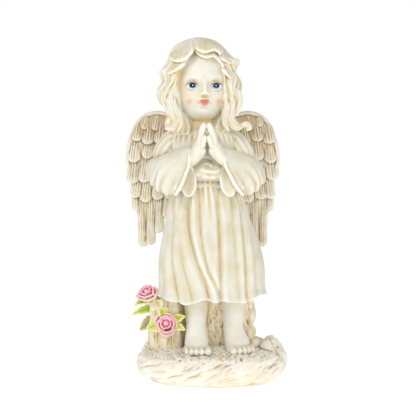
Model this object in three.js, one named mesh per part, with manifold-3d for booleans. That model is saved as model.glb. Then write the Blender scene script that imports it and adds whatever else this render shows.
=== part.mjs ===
// Praying child angel on a rocky mound: a painted resin garden figure, cast in one piece.
// Millimetres, +Z up. The figure faces -Y, +X is on the viewer's right, and the origin is
// in the middle of the flat underside.
import * as THREE from "three";
import { ParametricGeometry } from "three/addons/geometries/ParametricGeometry.js";
import { mergeVertices } from "three/addons/utils/BufferGeometryUtils.js";
import Module from "manifold-3d";

// Driving dimensions
const CROWN = 299;
const SWAY = -7.5; // the upper body leans this far towards -X
const MOUND = { x: 1, halfX: 64, halfY: 45, corner: 2.5, top: 29.5 };
const HEM = 69.5;
const WAIST = 176;
const SKIRT_DEPTH = 0.8; // depth over width of the skirt
const FOLDS = 13;
const HEAD = { x: -8, y: -5, z: 258, yaw: 0.12, halfX: 22.5, halfY: 22.5, up: 34, down: 32, round: 0.86 };
// Heights above the middle of the head: chin, lips, nose, eyes, brow and crown.
const FACE = {
  eye: 10.2,
  levels: [-HEAD.down, -29.5, -25.5, -21.6, -18.8, -17, -15.2, -12, -9, -5, -2.4, 1, 6, 16, 27, HEAD.up],
};
const HAIR = { x: -1.5, y: 2.5, halfX: 29, halfY: 26, up: CROWN - HEAD.z, down: 30, square: 0.8 };
const WING = { x: -7.5, root: 10.5, y: 14, sweep: 0.47, curl: 5, start: -5.25, tip: 66.2, feather: 17 };
const HANDS = { x: 3.6, tips: 222 };
const CUFF_SHIFT = 2.7; // the cuffs follow the hands towards +X
const FOOT_LENGTH = 42;
const BELL = 2 / 3; // share of a sleeve's bell that is outside, the rest lines its mouth
const WELD = 0.05; // details smaller than this close up where forms join
const CREAM = 0xf1e6cc;

const wasm = await Module();
wasm.setup();

// Small helpers for blending numbers
const TAU = 2 * Math.PI;
const clamp01 = (x) => Math.min(1, Math.max(0, x));
const ease = (a, b, x) => {
  const t = clamp01((x - a) / (b - a));
  return t * t * (3 - 2 * t);
};
const bump = (x, width) => Math.exp(-((x / width) ** 2));
const power = (x, p) => Math.sign(x) * Math.abs(x) ** p;
const sway = (z) => SWAY * ease(80, 230, z);

// A smooth curve through a few [x, y] rows, flat beyond the first and the last.
function profile(rows) {
  const last = rows.length - 1;
  const slope = (i) => {
    const a = rows[Math.max(i - 1, 0)];
    const b = rows[Math.min(i + 1, last)];
    return (b[1] - a[1]) / (b[0] - a[0]);
  };
  return (x) => {
    if (x <= rows[0][0]) return rows[0][1];
    if (x >= rows[last][0]) return rows[last][1];
    const i = rows.findIndex((row) => row[0] > x) - 1;
    const [x0, y0] = rows[i];
    const [x1, y1] = rows[i + 1];
    const w = x1 - x0;
    const t = (x - x0) / w;
    const s = 1 - t;
    return y0 * (1 + 2 * t) * s * s + w * slope(i) * t * s * s
      + y1 * t * t * (3 - 2 * t) - w * slope(i + 1) * t * t * s;
  };
}

// A closed surface point(u, v) as a solid: u runs round, and v from pole to pole.
function solid(point, around, along) {
  const place = (u, v, target) => target.set(...point(u % 1, v));
  const grid = new ParametricGeometry(place, around, along);
  grid.deleteAttribute("normal");
  grid.deleteAttribute("uv");
  const merged = mergeVertices(grid, 1e-3);
  const corners = merged.index.array;
  const position = merged.attributes.position.array;
  const faces = [];
  let volume = 0;
  for (let i = 0; i < corners.length; i += 3) {
    const [a, b, c] = corners.slice(i, i + 3);
    if (a === b || b === c || c === a) continue;
    faces.push(a, b, c);
    const [p, q, r] = [a, b, c].map((k) => new THREE.Vector3().fromArray(position, 3 * k));
    volume += p.dot(q.cross(r));
  }
  if (volume < 0) faces.reverse();
  const triVerts = new Uint32Array(faces);
  const mesh = { numProp: 3, vertProperties: position, triVerts, tolerance: WELD };
  return new wasm.Manifold(new wasm.Mesh(mesh));
}

// A limb: an oval section carried along a smooth curve and rounded off at both ends.
// half(t) gives its half width across and its half thickness along face, from t 0 to 1.
function limb(points, half, face, sides, steps, blunt = 4) {
  const curve = new THREE.CatmullRomCurve3(points.map((p) => new THREE.Vector3(...p)));
  const front = new THREE.Vector3(...face);
  return solid((u, v) => {
    const t = 0.5 - 0.5 * Math.cos(Math.PI * v);
    const along = curve.getTangent(t);
    const across = new THREE.Vector3().crossVectors(along, front).normalize();
    const out = new THREE.Vector3().crossVectors(across, along);
    const end = Math.sqrt(Math.max(0, 1 - Math.abs(2 * t - 1) ** blunt));
    const [w, h] = half(t);
    return curve.getPoint(t)
      .addScaledVector(across, w * end * Math.cos(TAU * u))
      .addScaledVector(out, h * end * Math.sin(TAU * u))
      .toArray();
  }, sides, steps);
}

// A lump of rock: a ball with a few shallow facets.
function boulder([x, y, z], [a, b, c], phase, sides, steps) {
  return solid((u, v) => {
    const turn = TAU * u;
    const rise = Math.PI * (v - 0.5);
    const rough = 1 + 0.1 * Math.sin(3 * turn + phase) * Math.cos(2 * rise + phase)
      + 0.06 * Math.sin(5 * turn - 2 * rise + phase);
    const r = Math.cos(rise) * rough;
    return [x + a * r * Math.sin(turn), y - b * r * Math.cos(turn), z + c * Math.sin(rise)];
  }, sides, steps);
}

// Mound: a flat underside, sides that swell outwards, and a low domed top.
function mound() {
  const spread = profile([
    [0, 0], [1, 0.78], [2, 0.81], [3, 0.92], [4, 0.985], [5, 1], [6, 0.97], [7, 0.85], [8, 0.5], [9, 0],
  ]);
  const height = profile([
    [0, 0], [1, 0], [2, 1], [3, 6.5], [4, 12], [5, 18], [6, 23.5], [7, 26.5], [8, 28.5], [9, MOUND.top],
  ]);
  return solid((u, v) => {
    const turn = TAU * u;
    const across = Math.abs(Math.sin(turn)) ** MOUND.corner + Math.abs(Math.cos(turn)) ** MOUND.corner;
    const side = ease(0.5, 2, 9 * v) * ease(8.6, 6, 9 * v);
    const z = Math.max(0, height(9 * v));
    const uneven = 1 + 0.02 * Math.sin(3 * turn + 0.6) + 0.016 * Math.sin(5 * turn + 2.1);
    const strata = 1 + side * 0.016 * Math.sin(8 * turn - 0.3 * z + 1.4 * Math.sin(3 * turn));
    const r = spread(9 * v) * across ** (-1 / MOUND.corner) * uneven * strata;
    return [MOUND.x + MOUND.halfX * r * Math.sin(turn), -MOUND.halfY * r * Math.cos(turn), z];
  }, 32, 9);
}

// A trunk of bark or rough growth that stands on the mound.
function trunk({ x, y, halfX, halfY, low, high, ribs, depth, taper }, sides, steps) {
  return solid((u, v) => {
    const turn = TAU * u;
    const end = Math.sqrt(1 - (2 * v - 1) ** 8);
    const bark = 1 + depth * Math.cos(ribs * turn + 2 * v + Math.sin(2 * turn));
    const r = end * bark * (1 - taper * v);
    return [x + halfX * r * Math.sin(turn), y - halfY * r * Math.cos(turn), low + (high - low) * v];
  }, sides, steps);
}

// Skirt: folds run from the gathers at the waist to a waved hem that is hollowed underneath.
const skirtHalf = profile([
  [HEM, 46], [92, 46], [107, 45], [123, 41.5], [138, 37.2], [153, 33.5], [163, 31], [WAIST, 25.5],
]);
function fold(turn, t) {
  const drift = 0.34 * bump(turn + 0.35, 0.7) * (1 - t) ** 1.4;
  const phase = FOLDS * (turn - drift) + 1.4 * Math.sin(2 * turn + 0.8) + 1.1 * Math.sin(3 * turn + 2);
  const strong = 0.75 + 0.25 * Math.sin(4 * turn + 1);
  return strong * (0.5 + 0.5 * Math.cos(phase)) - 0.4;
}
function skirt() {
  const hollow = 2 / 9; // share of v that the underside takes
  return solid((u, v) => {
    const turn = TAU * (u - 0.5);
    const t = clamp01((v - hollow) / (1 - hollow));
    const up = t ** 0.9;
    const wave = 1.6 * (0.5 - fold(turn, 0)) + 1.2 * Math.sin(2 * turn + 1);
    const inner = clamp01(v / hollow);
    const z = HEM + (WAIST + 6 - HEM) * up + (1 - up) ** 6 * wave * ease(0.2, 1, inner);
    const depth = 3.6 - 2.1 * up;
    const lip = 1.4 * bump(up, 0.05);
    let a = skirtHalf(z) + depth * fold(turn, up) + lip;
    let b = skirtHalf(z) * SKIRT_DEPTH + depth * fold(turn, up) + lip;
    const close = t > 0 ? clamp01((1 - v) / 0.04) : 0.9 * inner ** 0.5 + 0.1 * ease(0.6, 1, inner);
    a *= close;
    b *= close;
    const rise = t > 0 ? 0 : 9 * (1 - ease(0.4, 1, inner));
    return [sway(z) + a * Math.sin(turn), -b * Math.cos(turn), z + rise];
  }, 50, 9);
}

// Bodice: belt, a blouse that hangs over it, chest and sloping shoulders up to the neck.
function bodice() {
  const halfX = profile([
    [166, 24], [172, 26], [175, 26.2], [178, 25], [184, 28], [196, 30.5], [208, 31.5], [215, 29], [220, 20],
    [226, 12.5],
  ]);
  const halfY = profile([
    [166, 19], [172, 21], [175, 21.2], [178, 20], [184, 22.5], [196, 21.5], [208, 19.5], [215, 17.5],
    [220, 14.5], [226, 12],
  ]);
  const [low, high] = [166, 228];
  return solid((u, v) => {
    const turn = TAU * (u - 0.5);
    const z = low + (high - low) * v;
    const end = Math.sqrt(1 - (2 * v - 1) ** 12);
    const pouch = 4 * bump(turn, 0.75) * bump(z - 184, 5);
    const x = halfX(z) * end * power(Math.sin(turn), 0.92);
    const y = (halfY(z) + pouch) * end * power(Math.cos(turn), 0.92);
    return [sway(z) + x, -y, z];
  }, 16, 10);
}

// One sleeve: the upper arm down to the elbow, and a bell that hangs open below the wrist.
function sleeve(side) {
  const at = (x, y, z) => [sway(z) + side * x + CUFF_SHIFT * ease(0, -28, y), y, z];
  const arm = limb(
    [at(18, 3, 213), at(26, 2, 209), at(34, -1, 197), at(37, -3, 182)],
    () => [10.5, 12], [0, -1, 0], 8, 4, 6,
  );
  const elbow = new THREE.Vector3(...at(46.5, 1, 184));
  const cuff = new THREE.Vector3(...at(15.5, -28, 184));
  const reach = new THREE.Vector3().subVectors(cuff, elbow);
  const lip = new THREE.Vector3(-reach.y, reach.x, 0).normalize().multiplyScalar(side);
  const above = profile([[0, 10], [0.4, 13], [0.75, 17], [1, 20]]);
  const below = profile([[0, 11], [0.3, 15], [0.7, 19], [1, 22]]);
  const wide = profile([[0, 10], [0.4, 12], [1, 11.5]]);
  const bell = solid((u, v) => {
    const turn = TAU * u;
    const t = clamp01(v / BELL);
    const inside = clamp01((v - BELL) / (1 - BELL));
    const open = inside > 0 ? 0.86 * (1 - inside) ** 0.6 + 0.14 * (1 - ease(0, 0.4, inside)) : 1;
    const end = Math.sqrt(1 - (1 - t) ** 4) * open;
    const up = Math.sin(turn);
    const across = wide(t) * Math.cos(turn) * (1 - 0.4 * up) * end;
    const rise = (up > 0 ? above(t) : below(t)) * up * end;
    const crease = 0.9 * Math.sin(3 * turn + 5 * t) * t * end;
    const slant = 0.25 * Math.cos(turn) - 0.16 * up * up;
    const depth = t - 0.34 * ease(0, 1, inside) + slant * t * open;
    const p = elbow.clone().addScaledVector(reach, depth).addScaledVector(lip, across + crease);
    return [p.x, p.y, p.z + rise];
  }, 12, 9);
  return [arm, bell];
}

// One praying hand: wrist, palm, four fingers that meet their fellows, and a thumb.
function hand(side) {
  const at = (x, y, z) => [sway(z) + HANDS.x + side * x, y, z];
  const face = [side, 0, 0.4];
  const palm = limb(
    [at(26, -16, 187), at(15, -27, 192), at(6.6, -31, 198), at(5.2, -31.5, 206), at(4.2, -31.5, 214)],
    (t) => [6.5 + 2 * Math.sin(Math.PI * t), 6], face, 6, 5,
  );
  const fingers = [0, 1, 2, 3].map((k) => {
    const y = -37 + 3.8 * k;
    const tip = HANDS.tips + 2 * Math.sin(1 + 0.75 * k);
    const path = [at(5.6, y + 0.5, 204), at(4.3, y, 213), at(1.8, y + 0.3, tip)];
    return limb(path, () => [2.2, 2.7], face, 5, 3);
  });
  const thumb = limb([at(6.5, -26, 198), at(3, -23.5, 211)], () => [2.4, 2.4], face, 5, 3);
  return [palm, ...fingers, thumb];
}

// One bare leg and foot with five toes.
function leg({ x, y, ground, yaw, side }) {
  const shin = limb(
    [[x, y + 2, 96], [x, y + 1, 66], [x, y, 47], [x, y, ground + 5]],
    (t) => [11.4 - 2.6 * ease(0.1, 0.7, t), 11 - 2 * ease(0.1, 0.7, t)], [0, -1, 0], 10, 4, 8,
  );
  const [ahead, right] = [[Math.sin(yaw), -Math.cos(yaw)], [Math.cos(yaw), Math.sin(yaw)]];
  const at = (l, across, z) => [
    x + ahead[0] * (l * FOOT_LENGTH - 12) + right[0] * across,
    y + ahead[1] * (l * FOOT_LENGTH - 12) + right[1] * across,
    z,
  ];
  const width = profile([[0, 7.5], [0.3, 8.6], [0.55, 10], [0.8, 12], [1, 11]]);
  const height = profile([[0, 13], [0.25, 17], [0.45, 15], [0.7, 10.5], [1, 6.5]]);
  const sole = solid((u, v) => {
    const turn = TAU * u;
    const end = Math.sqrt(1 - (2 * v - 1) ** 6);
    const up = height(v) * (0.5 + 0.5 * power(Math.sin(turn), 0.8) * end);
    return at(v, -width(v) * end * Math.cos(turn), ground - 2 + up);
  }, 10, 5);
  const toes = [0, 1, 2, 3, 4].map((k) => {
    const r = 3.7 - 0.34 * k;
    const across = -side * (8.6 - 4.4 * k + (k > 0 ? -0.6 : 0));
    const start = 0.8 - 0.02 * k;
    const reach = 1.02 - 0.03 * k * k * 0.45;
    const points = [start, (start + reach) / 2, reach].map((l, i) => at(l, across, ground + 2.6 - 0.4 * i));
    return limb(points, () => [r * 0.74, r], [0, 0, 1], 5, 3);
  });
  return [shin, sole, ...toes];
}

// Head: a round child's head whose front carries the features, placed with its slight turn.
function onHead(x, y, z) {
  const [c, s] = [Math.cos(HEAD.yaw), Math.sin(HEAD.yaw)];
  return [HEAD.x + x * c - y * s, HEAD.y + x * s + y * c, HEAD.z + z];
}
// How far the features stand out, at x across and z above the middle of the head.
function feature(x, z) {
  const side = Math.abs(x);
  const nose = 5 * bump(x, 3.4) * ease(5, -9, z) * ease(-13, -10, z);
  const socket = 2.4 * bump(side - FACE.eye, 5.6) * bump(z + 1.6, 4.4);
  const eyes = 1.5 * bump(side - FACE.eye, 3.8) * bump(z + 2.4, 2.8) - socket;
  const brow = 0.9 * bump(side - FACE.eye, 6.5) * bump(z - 6, 2.6);
  const cheeks = 1.9 * bump(side - 12.5, 6) * bump(z + 14, 6.5);
  const lips = 1.9 * bump(x, 4.4) * (bump(z + 15.2, 1.4) + bump(z + 18.8, 1.5));
  const corners = 1.1 * bump(side - 7, 1.8) * bump(z + 17, 2);
  const chin = 2.4 * bump(x, 6) * bump(z + 25.5, 3.8) - 0.8 * bump(x, 5) * bump(z + 21.6, 1.6);
  const forehead = 1.4 * bump(x, 14) * bump(z - 15, 9);
  return nose + eyes + brow + cheeks + lips - corners + chin + forehead;
}
function head() {
  const rows = FACE.levels.length - 1;
  return solid((u, v) => {
    const turn = TAU * (u - 0.5);
    const front = turn - 0.68 * Math.sin(turn);
    const z = FACE.levels[Math.round(v * rows)];
    const level = Math.sqrt(1 - (z / (z > 0 ? HEAD.up : HEAD.down)) ** 2) ** HEAD.round;
    const x = HEAD.halfX * level * Math.sin(front);
    const y = -HEAD.halfY * level * Math.cos(front);
    return onHead(x, y - feature(x, z) * ease(0, 0.6, Math.cos(front)) * level, z);
  }, 22, rows);
}
function neck() {
  const points = [[sway(216), 2, 212], [sway(222), 1, 222], [HEAD.x, HEAD.y + 4, 236]];
  return limb(points, () => [12, 12], [0, -1, 0], 8, 2, 8);
}

// Hair: a cap whose rim is the hairline round the face, and locks that sweep down from a parting.
const hairline = profile([
  [-1.4, -30], [-0.92, -26], [-0.74, -4], [-0.5, 16], [-0.25, 31], [0, 28], [0.3, 25], [0.55, 15],
  [0.77, -4], [0.95, -26], [1.4, -30],
]);
function hairCap() {
  const outside = 2 / 3; // share of v over the outside, the rest closes the cap within the head
  return solid((u, v) => {
    const turn = TAU * (u - 0.5);
    const front = turn - 0.3 * Math.sin(turn);
    const inner = 1 - clamp01((v - outside) / (1 - outside));
    const rim = hairline(front);
    const lowest = Math.asin(power(rim / (rim > 0 ? HAIR.up : HAIR.down), 1 / HAIR.square));
    const rise = Math.PI / 2 + (lowest - Math.PI / 2) * clamp01(v / outside);
    const z = power(Math.sin(rise), HAIR.square) * (rise > 0 ? HAIR.up : HAIR.down);
    const strands = 1 + 0.022 * Math.cos(11 * turn + 1.5 * Math.sin(2 * rise));
    const level = power(Math.cos(rise), HAIR.square) * strands * inner;
    const x = HAIR.x + HAIR.halfX * level * Math.sin(front);
    return onHead(x, HAIR.y - HAIR.halfY * level * Math.cos(front), z * inner);
  }, 22, 9);
}
// The hair at the back falls to the shoulders in waved strands.
function hairFall() {
  const half = profile([[-44, 20], [-36, 25], [-26, 24], [-12, 28], [2, 28], [16, 22]]);
  const [low, high] = [-43, 16];
  return solid((u, v) => {
    const turn = TAU * u;
    const z = low + (high - low) * v;
    const end = Math.sqrt(1 - (2 * v - 1) ** 8);
    const strands = 1 + 0.07 * Math.cos(8 * turn + 1.2 * Math.sin(0.12 * z));
    const r = half(z) * end * strands;
    return onHead(HAIR.x + r * Math.sin(turn), 9 - 0.72 * r * Math.cos(turn), z);
  }, 20, 5);
}

// Each lock: points in the head's own place, half width, half thickness.
const LOCKS = [
  { path: [[-7, -17, 34], [-15, -19, 29], [-22, -17, 22], [-30, -13, 15]], wide: 8, thick: 4 },
  { path: [[-7, -18, 33], [1, -21.5, 27.5], [9, -21.5, 26], [17, -18, 28]], wide: 5.5, thick: 3.6 },
  { path: [[5, -16, 34], [15, -17, 30], [23, -13, 22.5], [33, -9, 17]], wide: 7, thick: 4.5 },
  { path: [[-18, -14, 23], [-26, -14, 15], [-32, -11, 9], [-37, -9, 7]], wide: 6, thick: 4.5 },
  { path: [[-20, -9, 8], [-28, -10, -2], [-31, -9, -11], [-28, -9, -21], [-23, -9, -32]], wide: 8, thick: 7 },
  { path: [[-24, -12, 5], [-25, -14, -12], [-24, -14, -26], [-31, -12, -34]], wide: 5.4, thick: 5 },
  { path: [[-23.5, -12, -6], [-22.5, -13, -22], [-21, -14, -33], [-29, -13, -39.5]], wide: 4, thick: 4 },
  { path: [[19, -9, 14], [25, -10, 4], [27.5, -9, -6], [26.5, -8, -16], [22, -8, -27]], wide: 8, thick: 6 },
  {
    path: [[24, -12, 2], [25, -13, -13], [24, -13, -26], [27, -13, -35], [33, -13, -36.5], [39, -12, -34]],
    wide: 5, thick: 4.5,
  },
  { path: [[24, -12, -6], [23, -13, -20], [21, -14, -30], [22, -15, -40]], wide: 4, thick: 4 },
];
function locks() {
  return LOCKS.map(({ path, wide, thick }) => {
    const points = path.map(([x, y, z]) => onHead(x, y, z));
    const half = (t) => [wide * (0.85 + 0.5 * t - 0.95 * t * t), thick * (1 - 0.5 * t)];
    return limb(points, half, [0, -1, 0.3], 6, path.length + 1);
  });
}

// One wing: a thick leading edge, four rows of coverts and the long flight feathers, as one shell.
// Its section runs down the front over the feathers' steps and up the plain back.
const wingTop = profile([
  [-6, 214], [6, 226], [20, 234.5], [34, 237.5], [46, 235], [53, 229.5], [60, 216], [WING.tip, 193],
]);
const FLIGHT = [[16, 150], [24.5, 141], [33, 127], [41.5, 116], [50, 114], [58.5, 150]];
function wingBottom(l) {
  const reach = Math.max(l, FLIGHT[0][0]);
  return Math.min(...FLIGHT.map(([at, tip]) => tip + 6 * ((reach - at) / 4.4) ** 4));
}
const COVERTS = [0.23, 0.36, 0.52, 0.67]; // the rows' tips, as shares of the way down
const WING_SECTION = [
  { down: 0, high: -1 },
  { down: 0.015, high: 4 },
  { down: 0.1, high: 6.8 },
  ...COVERTS.flatMap((down, row) => [
    { down: down - 0.05, high: 6.4 - 1.1 * row, row },
    { down, high: 5.6 - 1.1 * row, row },
    { down: down + 0.008, high: 3.8 - 1.1 * row, row: row + 1 },
  ]),
  { down: 0.86, high: 1.6, row: 5 },
  { down: 0.995, high: 0.8, row: 5 },
  { down: 1, high: -1.6 },
  { down: 0.7, high: -3.4 },
  { down: 0.35, high: -4.4 },
  { down: 0.08, high: -4.4 },
];
function wing(side) {
  const [c, s] = [Math.cos(WING.sweep), Math.sin(WING.sweep)];
  const stations = 17;
  const pitch = WING.feather / 4;
  return solid((u, v) => {
    const { down, high, row } = WING_SECTION[Math.round(u * WING_SECTION.length) % WING_SECTION.length];
    const station = Math.round(v * stations);
    const l = station < stations ? WING.start + pitch * station : WING.tip;
    const end = station % stations ? 1 : 0;
    const width = row > 4 ? WING.feather / 2 : WING.feather;
    const phase = (l - 24.5) / width + (row % 2 ? 0 : 0.5);
    const edge = row === undefined ? 0 : (2 * (phase - Math.floor(phase)) - 1) ** 4;
    const top = wingTop(l);
    const bottom = Math.min(wingBottom(l), top - 0.01);
    const scallop = row < 5 ? 0.07 * edge : 0;
    const z = top + (bottom - top) * Math.min(1, (down - scallop) * end + 0.4 * (1 - end));
    const h = (high + 1.2 * (row === undefined ? 0 : 0.5 - edge)) * end;
    return [
      WING.x + side * (WING.root + l * c + h * s),
      WING.y + l * s - WING.curl * (l / 60) ** 2 - h * c,
      z,
    ];
  }, WING_SECTION.length, stations);
}

// A frame that faces along a direction, for setting a rose or a leaf on the stump.
function facing([x, y, z], out, roll) {
  const normal = new THREE.Vector3(...out).normalize();
  const across = new THREE.Vector3(0, 0, 1).cross(normal).normalize().applyAxisAngle(normal, roll);
  const up = new THREE.Vector3().crossVectors(normal, across);
  return (a, b, c) => new THREE.Vector3(x, y, z)
    .addScaledVector(across, a).addScaledVector(up, b).addScaledVector(normal, c).toArray();
}
// Rose: a rolled bud inside a cup of petals, on a short stem.
function rose({ centre, out, radius, foot }) {
  const at = facing(centre, out, 0.4);
  const cup = (petals, far, lift, floor) => solid((u, v) => {
    const turn = TAU * u;
    const inside = v > 0.5;
    const t = inside ? 2 - 2 * v : 2 * v;
    const lobe = Math.abs(Math.cos(0.5 * petals * turn)) - 0.6;
    const r = radius * far * t ** 0.6 * (1 + 0.5 * lobe * t) * (inside ? 0.84 : 1);
    const foot = inside ? floor : -0.6;
    const h = radius * (foot + (lift - foot) * t ** 2 + 0.1 * lobe * t);
    return at(r * Math.cos(turn + far), r * Math.sin(turn + far), h);
  }, 3 * petals, 4);
  const stem = limb([foot, centre], () => [4, 4], [0, 0.3, 1], 6, 2);
  return [stem, cup(5, 1, 0.1, -0.2), cup(3, 0.62, 0.4, 0.55)];
}
function leaf(root, tip, wide, face) {
  const middle = root.map((r, i) => (r + tip[i]) / 2 + 1.5 * face[i]);
  return limb([root, middle, tip], (t) => [wide * (1 - 0.55 * t * t), 1.3], face, 5, 3, 3);
}
function flowers() {
  const low = { centre: [-39, -16, 51], out: [0.1, -1, 0.25], radius: 10.5, foot: [-39, 2, 48] };
  const high = { centre: [-56, -3, 76], out: [-0.45, -0.75, 0.6], radius: 10, foot: [-43, 4, 62] };
  const leaves = [
    leaf([-38, -10, 53], [-56, -16, 46], 7.5, [-0.2, -0.9, 0.3]),
    leaf([-38, -9, 56], [-46, -15, 65], 6, [0, -0.9, 0.4]),
    leaf([-33, -9, 54], [-22, -17, 58], 4, [0.2, -0.9, 0.2]),
    leaf([-33, -9, 49], [-22, -17, 46], 4, [0.2, -0.9, 0.2]),
    leaf([-50, 4, 70], [-41, -10, 69], 5, [0.3, -0.8, 0.5]),
    leaf([-48, 4, 69], [-67, -8, 66], 6, [-0.2, -0.6, 0.8]),
    leaf([-46, 4, 62], [-70, -4, 57], 5, [-0.1, -0.7, 0.7]),
    leaf([-46, 2, 54], [-63, -5, 43], 6.5, [-0.5, -0.8, 0.2]),
  ];
  return [...rose(low), ...rose(high), ...leaves];
}

// The whole figure is one casting.
const STUMP = { x: -39, y: 5, halfX: 17, halfY: 17, low: 22, high: 76, ribs: 7, depth: 0.08, taper: 0.12 };
const GROWTH = { x: 4, y: 12, halfX: 35, halfY: 14, low: 22, high: 86, ribs: 6, depth: 0.08, taper: 0.14 };
const forms = [
  mound(),
  boulder([53, 2, 23], [11, 18, 14], 0.8, 8, 4),
  boulder([40, 14, 24], [16, 16, 10], 2, 8, 4),
  trunk(STUMP, 14, 4),
  trunk(GROWTH, 12, 4),
  ...leg({ x: -13, y: -7, ground: 27.3, yaw: 0.06, side: -1 }),
  ...leg({ x: 19.5, y: -4, ground: 27.5, yaw: 0.3, side: 1 }),
  skirt(),
  bodice(),
  neck(),
  head(),
  hairCap(),
  hairFall(),
  ...locks(),
  ...[-1, 1].flatMap((side) => [...sleeve(side), ...hand(side), wing(side)]),
  ...flowers(),
];
const figure = forms.reduce((whole, form) => whole.add(form));

function meshOf(name, whole, material) {
  const { vertProperties, triVerts } = whole.getMesh();
  const geometry = new THREE.BufferGeometry();
  geometry.setAttribute("position", new THREE.BufferAttribute(vertProperties, 3));
  geometry.setIndex(new THREE.BufferAttribute(triVerts, 1));
  geometry.computeVertexNormals();
  const mesh = new THREE.Mesh(geometry, material);
  mesh.name = name;
  return mesh;
}

const resin = new THREE.MeshStandardMaterial({ color: CREAM, roughness: 0.6, metalness: 0 });
const angel = new THREE.Group();
angel.add(meshOf("praying_angel", figure, resin));

export default angel;
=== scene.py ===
# %% [markdown]
# # A praying angel in painted resin
# The real figure is one resin casting about 30 cm tall: a child with wings and folded hands, barefoot on a
# rocky mound with two roses. Its solid is already in the frame, so this lesson remakes the same forms finely
# enough to show hair, feathers, folds and petals, and then paints them. Everything is shaped in the
# sculptor's millimetres, and the height of the casting in the frame gives the size of one of them.

# %% Load the casting
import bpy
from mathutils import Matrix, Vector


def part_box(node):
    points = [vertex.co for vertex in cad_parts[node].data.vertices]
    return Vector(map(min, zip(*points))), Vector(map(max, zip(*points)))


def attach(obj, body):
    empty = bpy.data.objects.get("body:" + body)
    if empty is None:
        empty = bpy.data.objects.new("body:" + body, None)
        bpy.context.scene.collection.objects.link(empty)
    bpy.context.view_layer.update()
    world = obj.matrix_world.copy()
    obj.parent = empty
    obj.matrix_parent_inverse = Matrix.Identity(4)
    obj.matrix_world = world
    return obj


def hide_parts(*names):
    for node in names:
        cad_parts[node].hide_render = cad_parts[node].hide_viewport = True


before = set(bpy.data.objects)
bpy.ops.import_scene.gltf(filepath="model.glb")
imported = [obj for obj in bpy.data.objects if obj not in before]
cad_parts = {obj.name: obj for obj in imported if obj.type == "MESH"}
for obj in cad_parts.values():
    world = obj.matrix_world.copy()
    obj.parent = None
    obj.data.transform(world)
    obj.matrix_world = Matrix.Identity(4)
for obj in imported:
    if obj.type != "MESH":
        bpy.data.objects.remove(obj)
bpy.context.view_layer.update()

import bpy
import numpy as np
from mathutils import Vector

CASTING = "praying_angel"
low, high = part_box(CASTING)
CROWN = 299.0  # height of the figure in the sculptor's millimetres
MM = (high.z - low.z) / CROWN
print("casting", [round(c, 4) for c in high - low], "m, one sculptor's millimetre is", MM, "m")

# %% [markdown]
# ## Numbers that bend
# A sculpted form is described here by a few smooth functions: one that eases from 0 to 1, one that makes a
# round bump, and one that draws a smooth curve through a handful of stated points. They take whole numpy
# arrays, so a surface of many thousand points is worked out in one go.

# %% Smooth functions
TAU = 2 * np.pi


def ease(a, b, x):
    """0 before a, 1 after b, and 3t^2 - 2t^3 of the share t between them."""
    t = np.clip((x - a) / (b - a), 0, 1)
    return t * t * (3 - 2 * t)


def bump(x, width):
    """A round bump: e to the power of minus (x over width) squared."""
    return np.exp(-((x / width) ** 2))


def power(x, p):
    """x to the power p with the sign of x kept."""
    return np.sign(x) * np.abs(x) ** p


def rounded(x, p):
    """A blunt round end: the root of 1 - |x|^p, and 0 past x = 1."""
    return np.sqrt(np.maximum(0, 1 - np.abs(x) ** p))


def split(points):
    """An array taken apart along its last axis, as into x, y and z."""
    return np.moveaxis(points, -1, 0)


def through(rows, x):
    """A cubic curve through rows of [x, y, ...]: each slope is the chord between the row's two neighbours."""
    rows = np.asarray(rows, float)
    at, y = rows[:, 0], rows[:, 1:]
    before = np.maximum(np.arange(len(at)) - 1, 0)
    after = np.minimum(np.arange(len(at)) + 1, len(at) - 1)
    slope = (y[after] - y[before]) / (at[after] - at[before])[:, None]
    x = np.clip(x, at[0], at[-1])
    i = np.clip(np.searchsorted(at, x, side="right") - 1, 0, len(at) - 2)
    w = (at[i + 1] - at[i])[..., None]
    t = (x - at[i])[..., None] / w
    s = 1 - t
    value = y[i] * (1 + 2 * t) * s * s + w * slope[i] * t * s * s
    value = value + y[i + 1] * t * t * (3 - 2 * t) - w * slope[i + 1] * t * t * s
    return value[..., 0] if y.shape[1] == 1 else value


def grain(p, seed):
    """Noise from -1 to 1: fixed numbers on a cubic lattice, blended by the eased place inside a cell."""
    cell = np.floor(p).astype(np.int64)
    part = p - cell
    part = part * part * (3 - 2 * part)
    total = np.zeros(len(p))
    for corner in np.ndindex(2, 2, 2):
        k = cell + corner
        code = k[:, 0] * 374761393 + k[:, 1] * 668265263 + k[:, 2] * 915488749 + seed * 144665
        code = (code ^ (code >> 13)) * 1274126177
        value = ((code ^ (code >> 16)) & 0xFFFF) / 32767.5 - 1
        total += value * np.prod(np.where(corner, part, 1 - part), axis=1)
    return total


print("halfway between 2 and 6, eased:", ease(2, 6, 4.0))

# %% [markdown]
# ## Skins over grids
# Every form is a closed skin over a grid: one number runs round it, the other from one end to the other. A
# limb is the simplest case, an oval carried along a path. A petal or a leaf is a thin sheet, a grid moved
# both ways along its own normals. Blender's own tubes and spheres would do for a sketch, but a formula
# lets the folds, strands and barbs be part of the form.

# %% Grids, limbs and sheets
def ring_grid(around, along):
    """Two grids: the turn in radians along each row, and the share of the way down the rows."""
    return np.meshgrid(TAU * np.arange(around) / around, np.linspace(0, 1, along + 1))


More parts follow.
